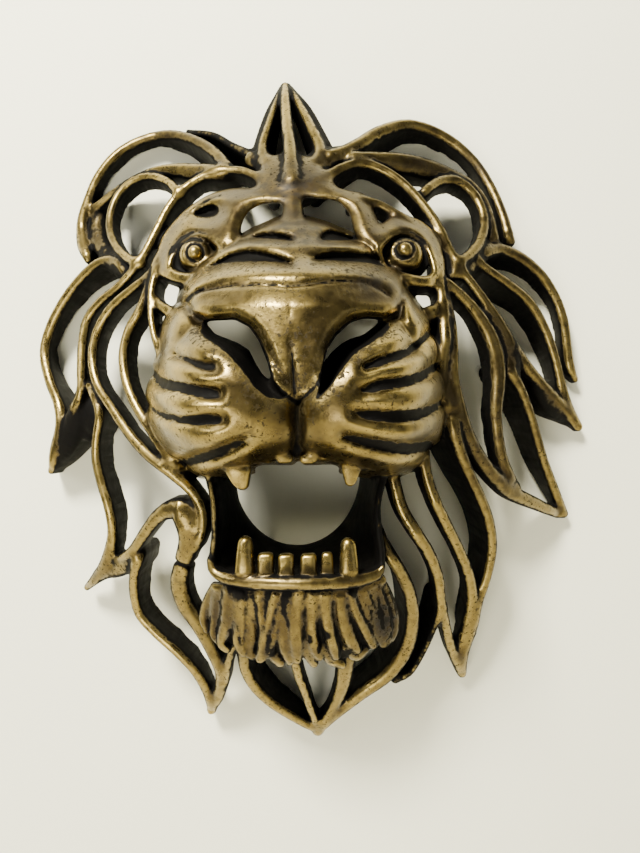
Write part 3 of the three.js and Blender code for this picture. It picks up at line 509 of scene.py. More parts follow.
# Brow, forehead and eye hoods are plates on the dome with rounded edges.
# extra: mm above the dome; pits are dark hollows; creases are (drawing line, depth in mm)
plates = [
    {  # forehead
        "puff": 2.0,
        "outline": [
            (260, 170), (268, 158), (286, 154), (304, 156), (318, 164), (330, 178), (338, 188), (346, 193),
            (340, 198), (318, 197), (303, 196), (302, 226), (283, 226), (282, 202), (266, 200), (252, 194),
            (258, 184),
        ],
        "extra": 1.0,
        "dark": 0.9,
    },
    {  # crest root left
        "outline": [(238, 146), (252, 143), (262, 148), (272, 160), (266, 172), (250, 167), (240, 158)],
        "extra": -6.0,
        "dark": 1.9,
    },
    {  # crest root right
        "outline": [(308, 156), (322, 149), (338, 142), (352, 146), (340, 158), (326, 170), (314, 170)],
        "extra": -4.0,
        "dark": 1.9,
    },
    {  # left hood
        "outline": [
            (157, 264), (158, 250), (162, 238), (170, 226), (181, 214), (193, 204), (208, 195), (224, 190),
            (240, 188), (256, 189), (270, 190), (286, 196), (283, 202), (268, 203), (256, 207), (247, 214),
            (242, 224), (240, 236), (238, 246), (224, 252), (214, 260), (206, 268), (194, 277), (178, 278),
            (163, 273),
        ],
        "extra": 2.0,
        "dark": 0.0,
        "pits": [[
            (193, 214.5), (200, 209), (207, 206), (214, 205), (218.5, 209), (217, 214), (210, 217),
            (201, 217),
        ]],
        "eye": [
            (173, 267), (176, 257), (182, 249), (190, 242.5), (199, 240), (208, 241.5), (214, 246),
            (217, 251), (212, 260), (205, 267), (196, 271.5), (186, 273), (178, 271),
        ],
        "creases": [
            ([(172, 253, 0.5), (177, 243, 0.8), (186, 235, 1.0), (198, 232, 1.0), (208, 235, 0.8),
                (215, 242, 0.4)], 1.0),
            ([(186, 218, 0.8), (196, 208, 1.6), (206, 201, 1.6), (220, 195, 1.0)], 0.9),
        ],
    },
    {  # right hood
        "outline": [
            (298, 189), (320, 190), (345, 191), (362, 193), (369, 203), (375, 214), (380, 224), (388, 219),
            (398, 215), (408, 216), (421, 221), (432, 230), (440, 242), (443, 256), (443, 272), (432, 281),
            (415, 281), (400, 276), (388, 270), (378, 258), (366, 248), (358, 239), (353, 228), (350, 216),
            (344, 207), (335, 200), (318, 197), (300, 196),
        ],
        "extra": 2.0,
        "dark": 0.3,
        "eye": [
            (382, 253), (386, 245), (393, 239), (402, 236), (411, 238), (419, 243), (425, 251), (429, 262),
            (431, 273), (420, 278), (404, 276), (392, 270), (385, 263),
        ],
        "creases": [
            ([(389, 237, 0.4), (396, 233, 0.8), (404, 231, 1.0), (413, 233, 1.0), (421, 239, 1.0),
                (428, 248, 0.6)], 1.0),
        ],
    },
]
plateLook = {
    "thick": 11.0, "edge": 3.0, "soft": 3.5, "puff": 4.5, "puffWidth": 8.0, "pitDepth": 7.0,
    "lidHeight": 3.6, "lidWidth": 5.0, "socket": 12.0, "riseSpan": (48, 94),
}


def plate(outline, extra, dark, pits=(), eye=None, creases=(), puff=plateLook["puff"]):
    inside = outlineDistance(roundOutline(outline))
    front = domeRise(acrossMap, downMap) + extra
    paint = np.full(acrossMap.shape, dark, dtype=np.float32)
    openSpace = inside
    for pit in pits:
        fromPit = -outlineDistance(roundOutline(pit))
        openSpace = np.minimum(openSpace, np.maximum(fromPit, 0))
        front -= plateLook["pitDepth"] * smoothStep(-fromPit, -1.0, 2.4)
        paint += 7 * smoothStep(-fromPit, -0.8, 0.8)
    if eye:
        fromEye = -outlineDistance(roundOutline(eye))
        front += plateLook["lidHeight"] * hill(fromEye - 3.5, plateLook["lidWidth"])
        inside = np.minimum(inside, fromEye)
        openSpace = np.minimum(openSpace, fromEye)
    front += puff * (1 - hill(np.maximum(openSpace, 0), plateLook["puffWidth"])) - 0.4 * puff
    for route, deep in creases:
        line = lineDistance(route)
        front -= deep * smoothStep(-line, -1.4, 0.6)
        paint += 4.0 * smoothStep(-line, -0.5, 0.5)
    inside, front, paint = blurMap(inside, 2), blurMap(front, 2), blurMap(paint, 1)
    spans = [(values.min() - 4, values.max() + 4) for values in np.array(outline).T]
    window = windowOnDrawing(*spans, plateLook["riseSpan"])
    x, rise, z = axesOf(window)
    across, down = drawnAt(x, z, rise)
    frontHere = lookUp(front, across, down)
    edge = -lookUp(inside, across, down) * mmPerUnit(rise)
    distance = softMax(edge, (rise - frontHere) * 0.95, plateLook["edge"])
    distance = np.maximum(distance, frontHere - plateLook["thick"] - rise)
    below = 2.4 * np.clip(frontHere - rise - 2.4, 0, 20) + lookUp(paint, across, down)
    blendIn(window, distance, below, plateLook["soft"])


for row in plates:
    plate(**row)
report("brow and forehead")

# Eyes: drawing points of the ball and the pupil, rise of the ball's front
eyes = [
    {"ball": (197, 257), "pupil": (194.5, 251.5), "front": 83.0, "size": 0.93},
    {"ball": (404, 257.5), "pupil": (405, 247.5), "front": 84.5, "size": 1.0},
]
eyeLook = {"radius": 9.9, "pupil": 3.0, "ring": 4.7, "ringWidth": 1.0, "ringDepth": 1.4, "bead": 1.5}


def eye(ball, pupil, front, size):
    radius = eyeLook["radius"] * size
    rise = front - radius
    x, z = placeAt(*ball, rise)
    pupilX, pupilZ = placeAt(*pupil, front)
    toPupil = np.array([pupilX - x, radius, pupilZ - z])
    toPupil /= np.linalg.norm(toPupil)
    socket = windowOf(x, rise, z, 22)
    sx, sr, sz = axesOf(socket)
    bowl = softMax(np.hypot((sx - x) / 1.15, sz - z) - plateLook["socket"], np.abs(sr - rise + 3) - 2.5, 1.0)
    blendIn(socket, bowl.astype(np.float32), 12, 1.5)
    window = windowOf(x, rise, z, radius + 4)
    wx, wr, wz = axesOf(window)
    dx, dr, dz = wx - x, wr - rise, wz - z
    away = np.sqrt(dx**2 + dr**2 + dz**2)
    aside = np.sqrt(np.maximum(away**2 - (dx * toPupil[0] + dr * toPupil[1] + dz * toPupil[2]) ** 2, 0))
    ring = hill(aside / size - eyeLook["ring"], eyeLook["ringWidth"])
    bead = eyeLook["bead"] * np.sqrt(np.clip(1 - (aside / size / (eyeLook["pupil"] + 0.8)) ** 2, 0, 1))
    shape = away - radius + eyeLook["ringDepth"] * ring - bead
    # Painted shadow of the upper lid on the top of the ball
    shade = smoothStep(dz, 0.35 * radius, 0.8 * radius) * smoothStep(aside, 0.5 * radius, 0.8 * radius)
    below = 6.5 * ring**2 + 6 * smoothStep(aside, radius * 0.93, radius * 1.02) + 5 * shade
    blendIn(window, shape.astype(np.float32), below.astype(np.float32), 0.5)


for row in eyes:
    eye(**row)
report("eyes")

# The mouth is a tube with the lower lip along its front. Inside, it narrows to a round throat.
mouth = {
    "lipRise": 110.0,
    "back": 14.0,  # rise of the tube's back edge
    "curve": 0.0016,  # how fast it falls back to each side, mm a squared drawing unit
    "middle": 297.0,
    "wall": 3.0,
    "clearedTo": 100.0,  # rise up to which the mane is cut away inside the rim
    "filledTo": 96.0,  # rise up to which the tube has its wall
    "filledFrom": 470.0,  # drawing height where that wall begins
    "throatRises": (16, 84),  # the throat widens to the rim between these rises
    "throatAcross": 297.0, "throatDown": 470.0, "throatHalfWidth": 63.0, "throatHalfHeight": 75.0,
    "rim": [
        (203, 462), (209, 482), (213, 505), (214, 535), (212, 560), (218, 574), (246, 583), (300, 586),
        (348, 583), (376, 575), (382, 560), (379, 530), (378, 505), (384, 478), (390, 460),
    ],
    "lip": [
        (209, 560, 1.4), (212, 571, 2.2), (224, 579, 3.0), (250, 583.5, 3.4), (276, 585, 3.4),
        (302, 585, 3.4), (345, 583.5, 3.4), (366, 580, 3.2), (378, 575, 2.6), (383, 568, 1.4),
    ],
    "gum": [(228, 466, 2.4), (262, 455, 2.4), (297, 449, 2.6), (330, 455, 2.4), (362, 464, 2.4)],
}


def mouthRise(across, down):
    return mouth["lipRise"] - mouth["curve"] * (across - mouth["middle"]) ** 2


mouthWindow = windowOnDrawing((186, 410), (440, 606), (0, 116))
mouthX, mouthY, mouthZ = axesOf(mouthWindow)
across, down = drawnAt(mouthX, mouthZ, mouthY)
toMm = mmPerUnit(mouthY)
rim = [placeAt(a, d, mouthRise(a, d)) for a, d in mouth["rim"]]
aboveRim = [(rim[-1][0] - 4, rim[-1][1] + 22), (rim[0][0] + 4, rim[0][1] + 22)]
insideRim = outlineDistance(curveThrough(rim + aboveRim, 3.0), *np.broadcast_arrays(mouthX, mouthZ))
cutOut(mouthWindow, np.maximum(-insideRim, mouthY - mouth["clearedTo"]), 8.0)
throat = 1 - np.hypot(
    (across - mouth["throatAcross"]) / mouth["throatHalfWidth"],
    (down - mouth["throatDown"]) / mouth["throatHalfHeight"],
)
throat = throat * mouth["throatHalfWidth"] * toMm
widening = smoothStep(mouthY, *mouth["throatRises"])
openSpace = throat + (insideRim - mouth["wall"] * 0.5 - throat) * widening
ragged = 1.8 * noiseAt(mouthX, mouthZ, 7.0)
fill = np.maximum(mouth["back"] + ragged - mouthY, mouthY - mouth["filledTo"])
fill = np.maximum(fill, np.maximum(-insideRim - 1.5, openSpace))
fill = np.maximum(fill, (mouth["filledFrom"] - down) * toMm)
blendIn(mouthWindow, fill.astype(np.float32), 12, 1.5)
for part, darker in ((mouth["rim"][:9], 0.8), (mouth["rim"][8:], 3.2)):
    sweep(
        [(a, d, mouth["wall"] / 2) for a, d in part], mouthRise, lambda rise: mouth["back"],
        roundest=1.5, soft=1.2, darker=darker,
    )
sweep(mouth["lip"], lambda a, d: mouthRise(a, d) + 2.6, lambda rise: rise - 8, soft=1.0, ragged=0)
# The gum under the pads is painted dark: black of the hollow and painted shade under the pads
sweep(mouth["gum"], lambda a, d: mouth["lipRise"] + 8, lambda rise: rise - 14, ragged=0, darker=4)
report("mouth")

# The beard: a dark sheet with traced locks on it. Locks: lift in mm and a route, half widths in drawing units
beard = {
    "top": 592.0, "foot": 665.0, "topRise": 108.0, "footRise": 88.0, "thick": 8.0,
    "sheetDrop": (1.0, 4.4),  # mm below the locks, at the top and at the foot
    "sheetDark": (0.8, 5.0),
    "lockWidth": 1.36, "lockRound": 4.0, "shade": 6.4, "streak": 6.0,
    "band": [
        (214, 588, 3), (232, 591, 5), (265, 594, 6), (300, 595, 6), (335, 593, 6), (362, 588, 6),
        (383, 581, 4),
    ],
}
beardSheet = [
    (213, 584), (250, 589), (300, 591), (345, 587), (382, 576), (391, 594), (394, 620), (388, 636),
    (374, 643), (360, 648), (346, 658), (322, 659), (304, 652), (286, 659), (264, 658), (246, 652),
    (228, 642), (215, 636), (208, 616),
]
beardLocks = [
    (-2.5, [(213, 588, 3), (207, 602, 4), (203, 618, 4), (206, 631, 3)]),
    (-0.5, [(222, 592, 3), (216, 606, 3), (213, 622, 2.6), (213, 636, 3), (222, 646, 3)]),
    (1.4, [(231, 592, 7), (231, 606, 9), (228, 620, 7), (223, 634, 5), (221, 645, 4), (227, 651, 3)]),
    (1.8, [(240, 594, 6), (240, 612, 7), (240, 628, 6.5), (238, 642, 5), (243, 654, 4)]),
    (-0.6, [(251, 596, 5), (251, 616, 5), (251, 636, 6), (248, 650, 6), (252, 657, 4)]),
    (1.0, [(257, 598, 3), (260, 614, 3.2), (263, 630, 3.2), (261, 645, 3)]),
    (2.0, [(274, 596, 4), (271, 612, 3.6), (267, 630, 3.4), (263, 646, 4), (260, 660, 4)]),
    (1.2, [(282, 598, 2.4), (279, 614, 2.4), (275, 632, 2.6), (270, 650, 3), (264, 660, 2)]),
    (-1.2, [(266, 640, 4), (272, 654, 6), (280, 664, 4)]),
    (0.2, [(288, 600, 4), (286, 616, 4), (283, 632, 4.4), (284, 648, 5), (290, 662, 4)]),
    (2.0, [(298, 594, 6), (296, 612, 7), (295, 630, 7), (296, 648, 6), (297, 661, 4)]),
    (1.4, [(312, 596, 6), (312, 612, 6), (311, 630, 5), (313, 646, 5), (319, 658, 4)]),
    (-1.0, [(306, 640, 3), (308, 654, 5), (314, 665, 3.6)]),
    (1.8, [(324, 596, 7), (325, 612, 6), (328, 628, 5), (332, 644, 5), (336, 657, 4)]),
    (-1.4, [(322, 648, 4), (330, 660, 5), (342, 666, 4)]),
    (1.0, [(340, 598, 6), (341, 614, 6), (345, 630, 7), (351, 643, 6), (357, 651, 4)]),
    (1.9, [(350, 594, 4), (354, 608, 4), (360, 622, 4), (367, 635, 4.4), (373, 646, 4)]),
    (-1.6, [(346, 648, 5), (356, 657, 5), (366, 650, 3)]),
    (0.8, [(361, 594, 3), (365, 608, 3.4), (371, 622, 3.4), (377, 636, 4), (384, 645, 4)]),
    (0.0, [(371, 592, 3.4), (376, 608, 3.4), (382, 622, 3.6), (387, 636, 4), (388, 643, 3)]),
    (-2.0, [(384, 588, 4), (390, 602, 4.4), (394, 618, 4.6), (394, 631, 4.4), (391, 640, 3.4)]),
    (0.9, [(379, 590, 2.2), (384, 604, 2.6), (388, 618, 2.8), (390, 630, 2.6)]),
    (1.2, [(366, 592, 1.8), (370, 604, 2.2), (376, 616, 2.2), (381, 628, 2.2), (386, 638, 2.6)]),
    (0.7, [(388, 594, 1.8), (392, 606, 2.2), (394, 616, 2.4)]),
]


def beardRise(across, down):
    fall = (beard["topRise"] - beard["footRise"]) / (beard["foot"] - beard["top"])
    curl = 3.0 * np.clip((down - 640) / 25, 0, 1) ** 2
    aside = 1.5 * mouth["curve"] * (across - mouth["middle"]) ** 2
    return beard["topRise"] - fall * (down - beard["top"]) - aside - curl


sheetWindow = windowOnDrawing((200, 402), (582, 676), (70, 112))
x, rise, z = axesOf(sheetWindow)
across, down = drawnAt(x, z, rise)
lower = smoothStep(down, 606, 650)
(dropTop, dropFoot), (darkTop, darkFoot) = beard["sheetDrop"], beard["sheetDark"]
sheetFront = beardRise(across, down) - dropTop - (dropFoot - dropTop) * lower
sheetDark = darkTop + (darkFoot - darkTop) * lower
sheetEdge = -outlineDistance(beardSheet, across, down) * unit * (1 - rise / sightMm)
sheet = np.maximum(softMax(sheetEdge, rise - sheetFront, 2.0), sheetFront - beard["thick"] - rise)
blendIn(sheetWindow, sheet.astype(np.float32), sheetDark.astype(np.float32), 1.0)
lockScale = mmPerUnit(100)
sweep(
    [(a, d, half * lockScale) for a, d, half in beard["band"]],
    lambda a, d: beardRise(a, d) - 0.4, lambda rise: rise - 8, soft=1.5, ragged=0, roundest=1.6, spacing=3,
    shade=2.0,
)
lockSeed = np.random.RandomState(31)
for lift, route in beardLocks:
    mm = [(a, d, half * lockScale * beard["lockWidth"]) for a, d, half in route]
    sweep(
        mm, lambda a, d: beardRise(a, d) + lift, lambda rise: rise - 8, soft=0.7, ragged=0,
        roundest=beard["lockRound"], spacing=2.5, shade=beard["shade"],
    )
    if max(half for _, _, half in route) < 4.4:
        continue
    for side in (-0.5, 0.0, 0.5):  # finer hairs lie along each wide lock
        lean = lockSeed.uniform(-1.2, 1.2)
        hair = [
            (a + side * half + lean * math.sin(i * 1.4 + side), d, half * lockScale * 0.26)
            for i, (a, d, half) in enumerate(route)
        ]
        sweep(
            hair, lambda a, d: beardRise(a, d) + lift + 0.5, lambda rise: rise - 3, soft=0.9, ragged=0,
            roundest=1.4, spacing=2.5, shade=2.0,
        )
# Brown streaks run down the hair
streaks = noiseAt(x, 0.2 * z, 1.6) + 0.6 * noiseAt(x, 0.3 * z, 4.0, 60)
onBeard = smoothStep(sheetEdge, 1.5, -1.5)
depth[sheetWindow] += beard["streak"] * np.clip(streaks - 0.25, 0, 1) * onBeard
report("beard")

# Teeth: across and down at the root, down at the tip, half widths in mm at root and tip, rise in mm, lean in
# mm and how round. Lower fangs and front teeth first, then the upper ones.
teeth = [
    (245, 577, 535.5, 4.9, 3.3, 104, 0.2, 1.0), (265.5, 577, 552.5, 4.0, 3.8, 105, 0, 0.5),
    (286, 577, 553.5, 3.9, 3.6, 106, 0, 0.45), (308.5, 577, 553.5, 4.1, 3.8, 106, 0, 0.45),
    (327, 577, 552, 3.2, 2.6, 105, 0, 0.5), (349, 577, 537, 4.8, 3.3, 104, -0.7, 1.0),
    (239, 466, 491, 6.2, 2.4, 113, 2.0, 1.0), (351, 463, 487, 4.8, 2.0, 113, -0.4, 1.0),
    (268, 456, 463, 3.0, 2.4, 116, 0, 0.6), (285, 454, 463.5, 4.0, 3.4, 118, 0, 0.5),
    (308.5, 453, 464, 4.4, 3.8, 118, 0, 0.5), (324, 455, 461.5, 2.8, 2.2, 117, 0, 0.6),
]


def tooth(across, root, tip, rootHalf, tipHalf, rise, lean, roundness):
    x, z = placeAt(across, root, rise)
    tipX, tipZ = placeAt(across, tip, rise)
    length = tipZ - z
    corner = min(tipHalf, rootHalf) * roundness
    middle = ((x + tipX) / 2, rise, z + length / 2)
    window = windowOf(*middle, abs(length) / 2 + rootHalf + 3)
    dx, dr, dz = [axis - start for axis, start in zip(axesOf(window), middle)]
    along = np.clip((dz + length / 2) / length, 0, 1)
    half = rootHalf + (tipHalf - rootHalf) * along**1.4
    aside = np.abs(dx - (tipX - x) * (along - 0.5) - lean * along**2)
    past = [aside - half + corner, np.abs(dr) - half * 0.85 + corner, np.abs(dz) - abs(length) / 2 + corner]
    outside = np.sqrt(sum(np.maximum(v, 0) ** 2 for v in past))
    inside = np.minimum(np.maximum(np.maximum(past[0], past[1]), past[2]), 0)
    blendIn(window, (outside + inside - corner).astype(np.float32), 0.0, 0.5)


for row in teeth:
    tooth(*row)
report("teeth")

# The hollow face: two pads, two cheeks and the nose, each a map of rises, thickened inwards
face = {
    "muzzleRise": 146.0,  # mm above the wall
    "cheekRise": 117.0,
    "padBase": 84.0,
    "back": 66.0,  # open back rim
    "wall": 7.0,
    "slotDepth": 4.6,
    "thinnest": 2.6,  # mm of skin left under a slot
    "slotValley": 2.4,  # mm, the skin sinks towards each slot, so that rolls stand between them
    "valleyWidth": 6.5,  # drawing units
    "noseRound": 9.0,  # mm that the edge of the nose rounds off
    "noseRoundWidth": 13.0,  # drawing units
    "soft": 2.6,
    "bridgeSlotDepth": 6.0,
    "bridgeValley": 0.7,  # share of slotValley
    "bridgeValleyWidth": 4.0,
    "philtrumDepth": 3.0,
    "philtrumWidth": 4.6,
    "noseRollHold": 0.35,  # share of a roll's height that is taken off all over
    "nostrilWall": 5.5,  # mm
    "nostrilBack": 84.0,  # rise at which its tube ends
    "nostrilRises": (98, 132),  # between these rises a nostril goes over from its back to its front outline
}
leftPad = [
    (147, 405), (150, 380), (158, 356), (171, 336), (192, 320), (235, 318), (268, 330), (298, 348),
    (322, 374), (330, 406), (324, 440), (302, 460), (270, 468), (236, 475), (205, 477), (182, 466),
    (163, 447), (151, 426),
]
rightPad = [
    (445, 402), (442, 380), (436, 358), (424, 336), (405, 316), (382, 314), (350, 318), (318, 330),
    (290, 350), (270, 378), (264, 408), (272, 440), (296, 460), (330, 469), (360, 475), (394, 476),
    (420, 464), (437, 442), (444, 421),
]
leftCheek = [
    (160, 352), (162, 330), (170, 313), (182, 303), (198, 310), (210, 330), (212, 355), (200, 375),
    (180, 380), (164, 371),
]
rightCheek = [
    (404, 288), (418, 304), (431, 325), (438, 350), (438, 368), (425, 380), (400, 372), (388, 350),
    (388, 325), (394, 302),
]
noseOutline = [
    (186, 300), (189, 283), (202, 266), (220, 250), (242, 236), (262, 226), (280, 217), (303, 217),
    (330, 225), (357, 236), (374, 248), (390, 262), (401, 280), (404, 298), (398, 312), (385, 318),
    (365, 318), (350, 322), (337, 334), (329, 349), (326, 366), (325, 386), (316, 400), (299, 406),
    (285, 399), (276, 385), (271, 366), (266, 350), (258, 336), (249, 326), (235, 319), (210, 320),
    (194, 314),
]
# Down the middle of the nose: drawing height, rise, fall to the sides in mm and half width that it falls over
noseMiddle = np.array([
    (212, 83, 5, 28), (228, 97, 12, 48), (240, 106, 19, 66), (252, 114, 24, 84), (264, 122, 27, 98),
    (278, 130, 28, 106), (292, 135.5, 26, 108), (306, 138.5, 25, 108), (320, 140, 25, 108),
    (360, 142, 25, 108), (405, 140, 25, 108),
])
noseAcross = 297.0
noseRolls = ((273, 8.5, 3.6), (246, 6, 2.2), (228, 6, 1.6), (303, 11, 1.0))  # drawing height, width, mm
creases = [  # thin lines in the skin, with their depth in mm
    ([(199, 291, 0.6), (230, 286.5, 0.5), (265, 285, 0.6), (290, 286.5, 0.8), (318, 283, 1.1),
        (345, 281, 0.8), (362, 281.5, 0.7), (376, 287, 0.8), (389, 296, 0.4)], 1.3),
    ([(187, 301, 1.2), (194, 294, 1.5), (204, 289.5, 0.8)], 1.6),
    ([(290, 337, 0.1), (291, 352, 0.5), (293, 372, 0.8), (295, 394, 1.2)], 2.0),
    ([(270, 377, 0.6), (279, 389, 1.3), (288, 397, 1.5), (297, 403, 1.4)], 2.2),
    ([(322, 369, 0.4), (317, 384, 1.0), (308, 394, 1.2), (299, 402, 1.2)], 2.0),
    ([(242, 240, 0.3), (250, 238, 0.6), (257, 237, 0.6)], 0.8),
    ([(339, 273, 0.3), (341, 284, 0.5), (340, 297, 0.3)], 0.4),
    ([(346, 271, 0.3), (347, 282, 0.4), (346, 290, 0.2)], 0.3),
    ([(352, 272, 0.3), (354, 286, 0.5), (353, 300, 0.3)], 0.4),
    ([(360, 274, 0.3), (362, 288, 0.5), (361, 298, 0.2)], 0.4),
    ([(367, 276, 0.2), (368, 287, 0.4), (366, 297, 0.2)], 0.3),
    ([(291, 300, 0.2), (290, 308, 0.5), (291, 316, 0.2)], 0.4),
]
philtrum = [(297, 402, 1.2), (296, 414, 0.8), (298, 430, 1.0), (297, 446, 1.2), (298, 458, 2.0)]

# Slots between the whisker rolls: drawing points with half widths in drawing units
padSlots = [
    [(176, 355, 0.4), (190, 361, 1.6), (203, 366, 2.6), (212, 367, 2.8)],
    [(154, 373, 2.0), (162, 383, 4.2), (182, 388, 4.6), (206, 393, 4.8), (216, 394, 4.0)],
    [(149, 405, 0.8), (158, 413, 1.6), (180, 420, 3.2), (206, 420, 4.6), (218, 420, 3.4)],
    [(175, 464, 2.6), (192, 461, 3.6), (218, 453, 4.0), (236, 445, 2.8), (245, 441, 1.0)],
    [(366, 367, 2.4), (380, 362, 3.8), (400, 355, 3.6), (417, 345, 2.8), (429, 333, 1.8)],
    [(363, 391, 2.4), (380, 386, 4.8), (404, 382, 4.8), (424, 375, 3.8), (438, 364, 1.8)],
    [(357, 413, 1.2), (370, 416, 4.0), (392, 417, 5.2), (415, 415, 4.8), (432, 409, 3.0), (442, 402, 1.8)],
    [(344, 437, 1.2), (360, 441, 3.4), (385, 446, 4.6), (408, 449, 5.0), (428, 446, 4.6)],
]
bridgeSlots = [
    [(209, 267), (221, 260), (232, 254.5), (245, 251.5), (258, 252), (271, 255), (284, 259), (294, 263.5),
        (280, 262.5), (260, 262), (240, 262), (224, 263.5)],
    [(254, 237.5), (262, 235), (275, 234), (288, 237), (294, 240.5), (280, 239.5), (264, 238.5)],
    [(320, 239.5), (323, 234), (330, 231.5), (340, 233), (349, 236.5), (356, 240), (340, 240.5),
        (326, 240.5)],
    [(313, 258.5), (322, 255), (336, 253), (350, 253), (365, 254), (376, 256), (385, 261), (392, 268),
        (384, 267), (372, 264), (358, 262), (340, 261), (322, 260)],
]
nostrils = [
    {
        "front": [
            (193, 317), (210, 320), (235, 319), (250, 326), (260, 340), (268, 360), (273, 380), (285, 398),
            (270, 398), (256, 388), (243, 369), (225, 350), (200, 333),
        ],
        "back": [
            (205, 322), (212, 321), (235, 320), (249, 327), (259, 341), (267, 361), (271, 376), (270, 381),
            (263, 375), (256, 364), (249, 350), (238, 343), (215, 334),
        ],
    },
    {
        "front": [
            (400, 312), (385, 318), (365, 318), (350, 322), (336, 334), (327, 350), (323, 366), (321, 380),
            (318, 397), (328, 388), (341, 369), (353, 354), (371, 342), (391, 328),
        ],
        "back": [
            (380, 320), (372, 319), (362, 319), (350, 323), (336, 336), (326, 351), (321, 362), (322, 365),
            (331, 353), (341, 344), (350, 339), (363, 335), (375, 326),
        ],
    },
]


def noseMap():
    rise, fall, halfWidth = [np.interp(downMap, noseMiddle[:, 0], noseMiddle[:, i]) for i in (1, 2, 3)]
    off = np.abs(acrossMap - noseAcross)
    surface = rise - fall * np.minimum(off / halfWidth, 1.3) ** 2.3
    arc = downMap - 15 * np.minimum(off / 106, 1.2) ** 4  # the rolls of skin droop at the sides
    for middle, width, height in noseRolls:
        surface += height * (hill(arc - middle, width) - face["noseRollHold"])
    inside = outlineDistance(noseOutline)
    near = np.clip(1 - inside / face["noseRoundWidth"], 0, 1)
    surface -= face["noseRound"] * (1 - np.sqrt(np.maximum(1 - near**2, 0)))
    return np.where(inside > 0, surface, surface - 3.0 * -inside)


forms = [
    lumpMap((228, 402), leftPad, face["padBase"], face["muzzleRise"], 2.8),
    lumpMap((366, 402), rightPad, face["padBase"], face["muzzleRise"], 2.8),
    lumpMap((186, 342), leftCheek, face["padBase"] - 2, face["cheekRise"]),
    lumpMap((412, 336), rightCheek, face["padBase"] - 2, face["cheekRise"]),
    noseMap(),
]
padSlotMap = np.minimum.reduce([lineDistance(slot) for slot in padSlots])
bridgeSlotMap = np.minimum.reduce([-outlineDistance(roundOutline(slot)) for slot in bridgeSlots])
fleck = np.clip(noiseAt(acrossMap, downMap, 2.0) * 2.4 - 0.3, 0, 1)
fleck *= np.clip(noiseAt(acrossMap, downMap, 14, 90) + 0.6, 0, 1)
skinDrop = face["slotDepth"] * smoothStep(-padSlotMap, -2.4, 2.6)
skinDrop += face["bridgeSlotDepth"] * smoothStep(-bridgeSlotMap, -1.0, 2.2)
skinDrop += face["slotValley"] * hill(np.maximum(padSlotMap, 0), face["valleyWidth"])
skinDrop += face["bridgeValley"] * face["slotValley"] * hill(
    np.maximum(bridgeSlotMap, 0), face["bridgeValleyWidth"],
)
skinDark = (8.0 - 6.6 * fleck) * smoothStep(-padSlotMap, -1.2, 1.2)  # brass flecks on the slot floors
skinDark = np.maximum(skinDark, 7 * smoothStep(-bridgeSlotMap, -0.4, 1.0))
for route, deep in creases:
    line = lineDistance(route)
    skinDrop += deep * smoothStep(-line, -1.6, 0.5)
    skinDark = np.maximum(skinDark, min(3.4 * deep, 6.0) * smoothStep(-line, -1.0, 0.2))
line = lineDistance(philtrum)
skinDrop = np.minimum(skinDrop, face["wall"] - face["thinnest"])
skinDrop += face["philtrumDepth"] * hill(np.maximum(line, 0), face["philtrumWidth"])
# Darker along the philtrum: black in the groove and painted shade where the pads curve in
skinDark = np.maximum(skinDark, 3.2 * hill(np.maximum(line + 0.2, 0), 2.6))
skinDrop, skinDark = blurMap(skinDrop, 1), blurMap(skinDark, 1)
# Where the paint is speckled: below the nostrils, on the nose roll and beside the philtrum
nostrilMaps = [
    [blurMap(outlineDistance(nostril[key]), 2) for key in ("front", "back")] for nostril in nostrils
]
mottle = np.maximum(*[hill(np.minimum(front, 0), 13) * (downMap > 328) for front, _ in nostrilMaps])
mottle = np.maximum(mottle, 0.5 * hill(downMap - 268, 12) * (np.abs(acrossMap - noseAcross) < 105))
mottle = np.maximum(mottle, 0.6 * hill(acrossMap - 297, 16) * (downMap > 320))
mottle = blurMap(mottle, 6)
report("face drawn")

faceWindow = windowOf((-92, 92), (50, 152), (-232, -28), 0)
faceX, faceRise, faceZ = axesOf(faceWindow)
across, down = drawnAt(faceX, faceZ, faceRise)
toMm = mmPerUnit(faceRise)
plain = None
for form in forms:
    table = blurMap(form, 3)
    slope = np.minimum(np.hypot(*np.gradient(table, faceMap["step"])), 5.0)
    here = (faceRise - lookUp(table, across, down)) / np.sqrt(1 + (lookUp(slope, across, down) / toMm) ** 2)
    plain = here if plain is None else softMin(plain, here, face["soft"])
dropHere = lookUp(skinDrop, across, down)
shell = np.maximum(plain + dropHere, -(plain + face["wall"]))
belowFront = np.clip(-plain - 1.2 - dropHere, 0, 40) + lookUp(skinDark, across, down)
forward = smoothStep(faceRise, *face["nostrilRises"])
for frontMap, backMap in nostrilMaps:
    inside = lookUp(backMap, across, down) * (1 - forward) + lookUp(frontMap, across, down) * forward
    inside = inside * toMm
    tube = np.maximum(np.maximum(-inside - face["nostrilWall"], plain + 1.0), face["nostrilBack"] - faceRise)
    shell = np.maximum(softMin(shell, tube, 2.5), inside)
    belowFront = np.maximum(belowFront, 7 * smoothStep(inside, -1.2, 0.4))
ragged = 1.6 * noiseAt(faceX, faceZ, 8.0)
shell = np.maximum(shell, face["back"] + ragged - faceRise)
blendIn(faceWindow, shell.astype(np.float32), belowFront.astype(np.float32), 2.2)
# The view through the mouth begins right below the pads
viewTop = [
    (255, 467), (265, 464.6), (276, 465), (297, 465.4), (320, 465), (332, 464.6), (339, 466.5), (338, 484),
    (256, 484),
]
clearWindow = windowOnDrawing((244, 350), (456, 492), (50, 150))
clearX, clearRise, clearZ = axesOf(clearWindow)
across, down = drawnAt(clearX, clearZ, clearRise)
cutOut(clearWindow, -outlineDistance(viewTop, across, down) * unit * (1 - clearRise / sightMm), 3.0)
report("face built")

# The repaired crack across one lock: a thin uneven groove
crack = {"from": (170, 562), "to": (192, 569), "halfWidth": 0.5, "deep": 1.8, "fadeDepth": 3.0}


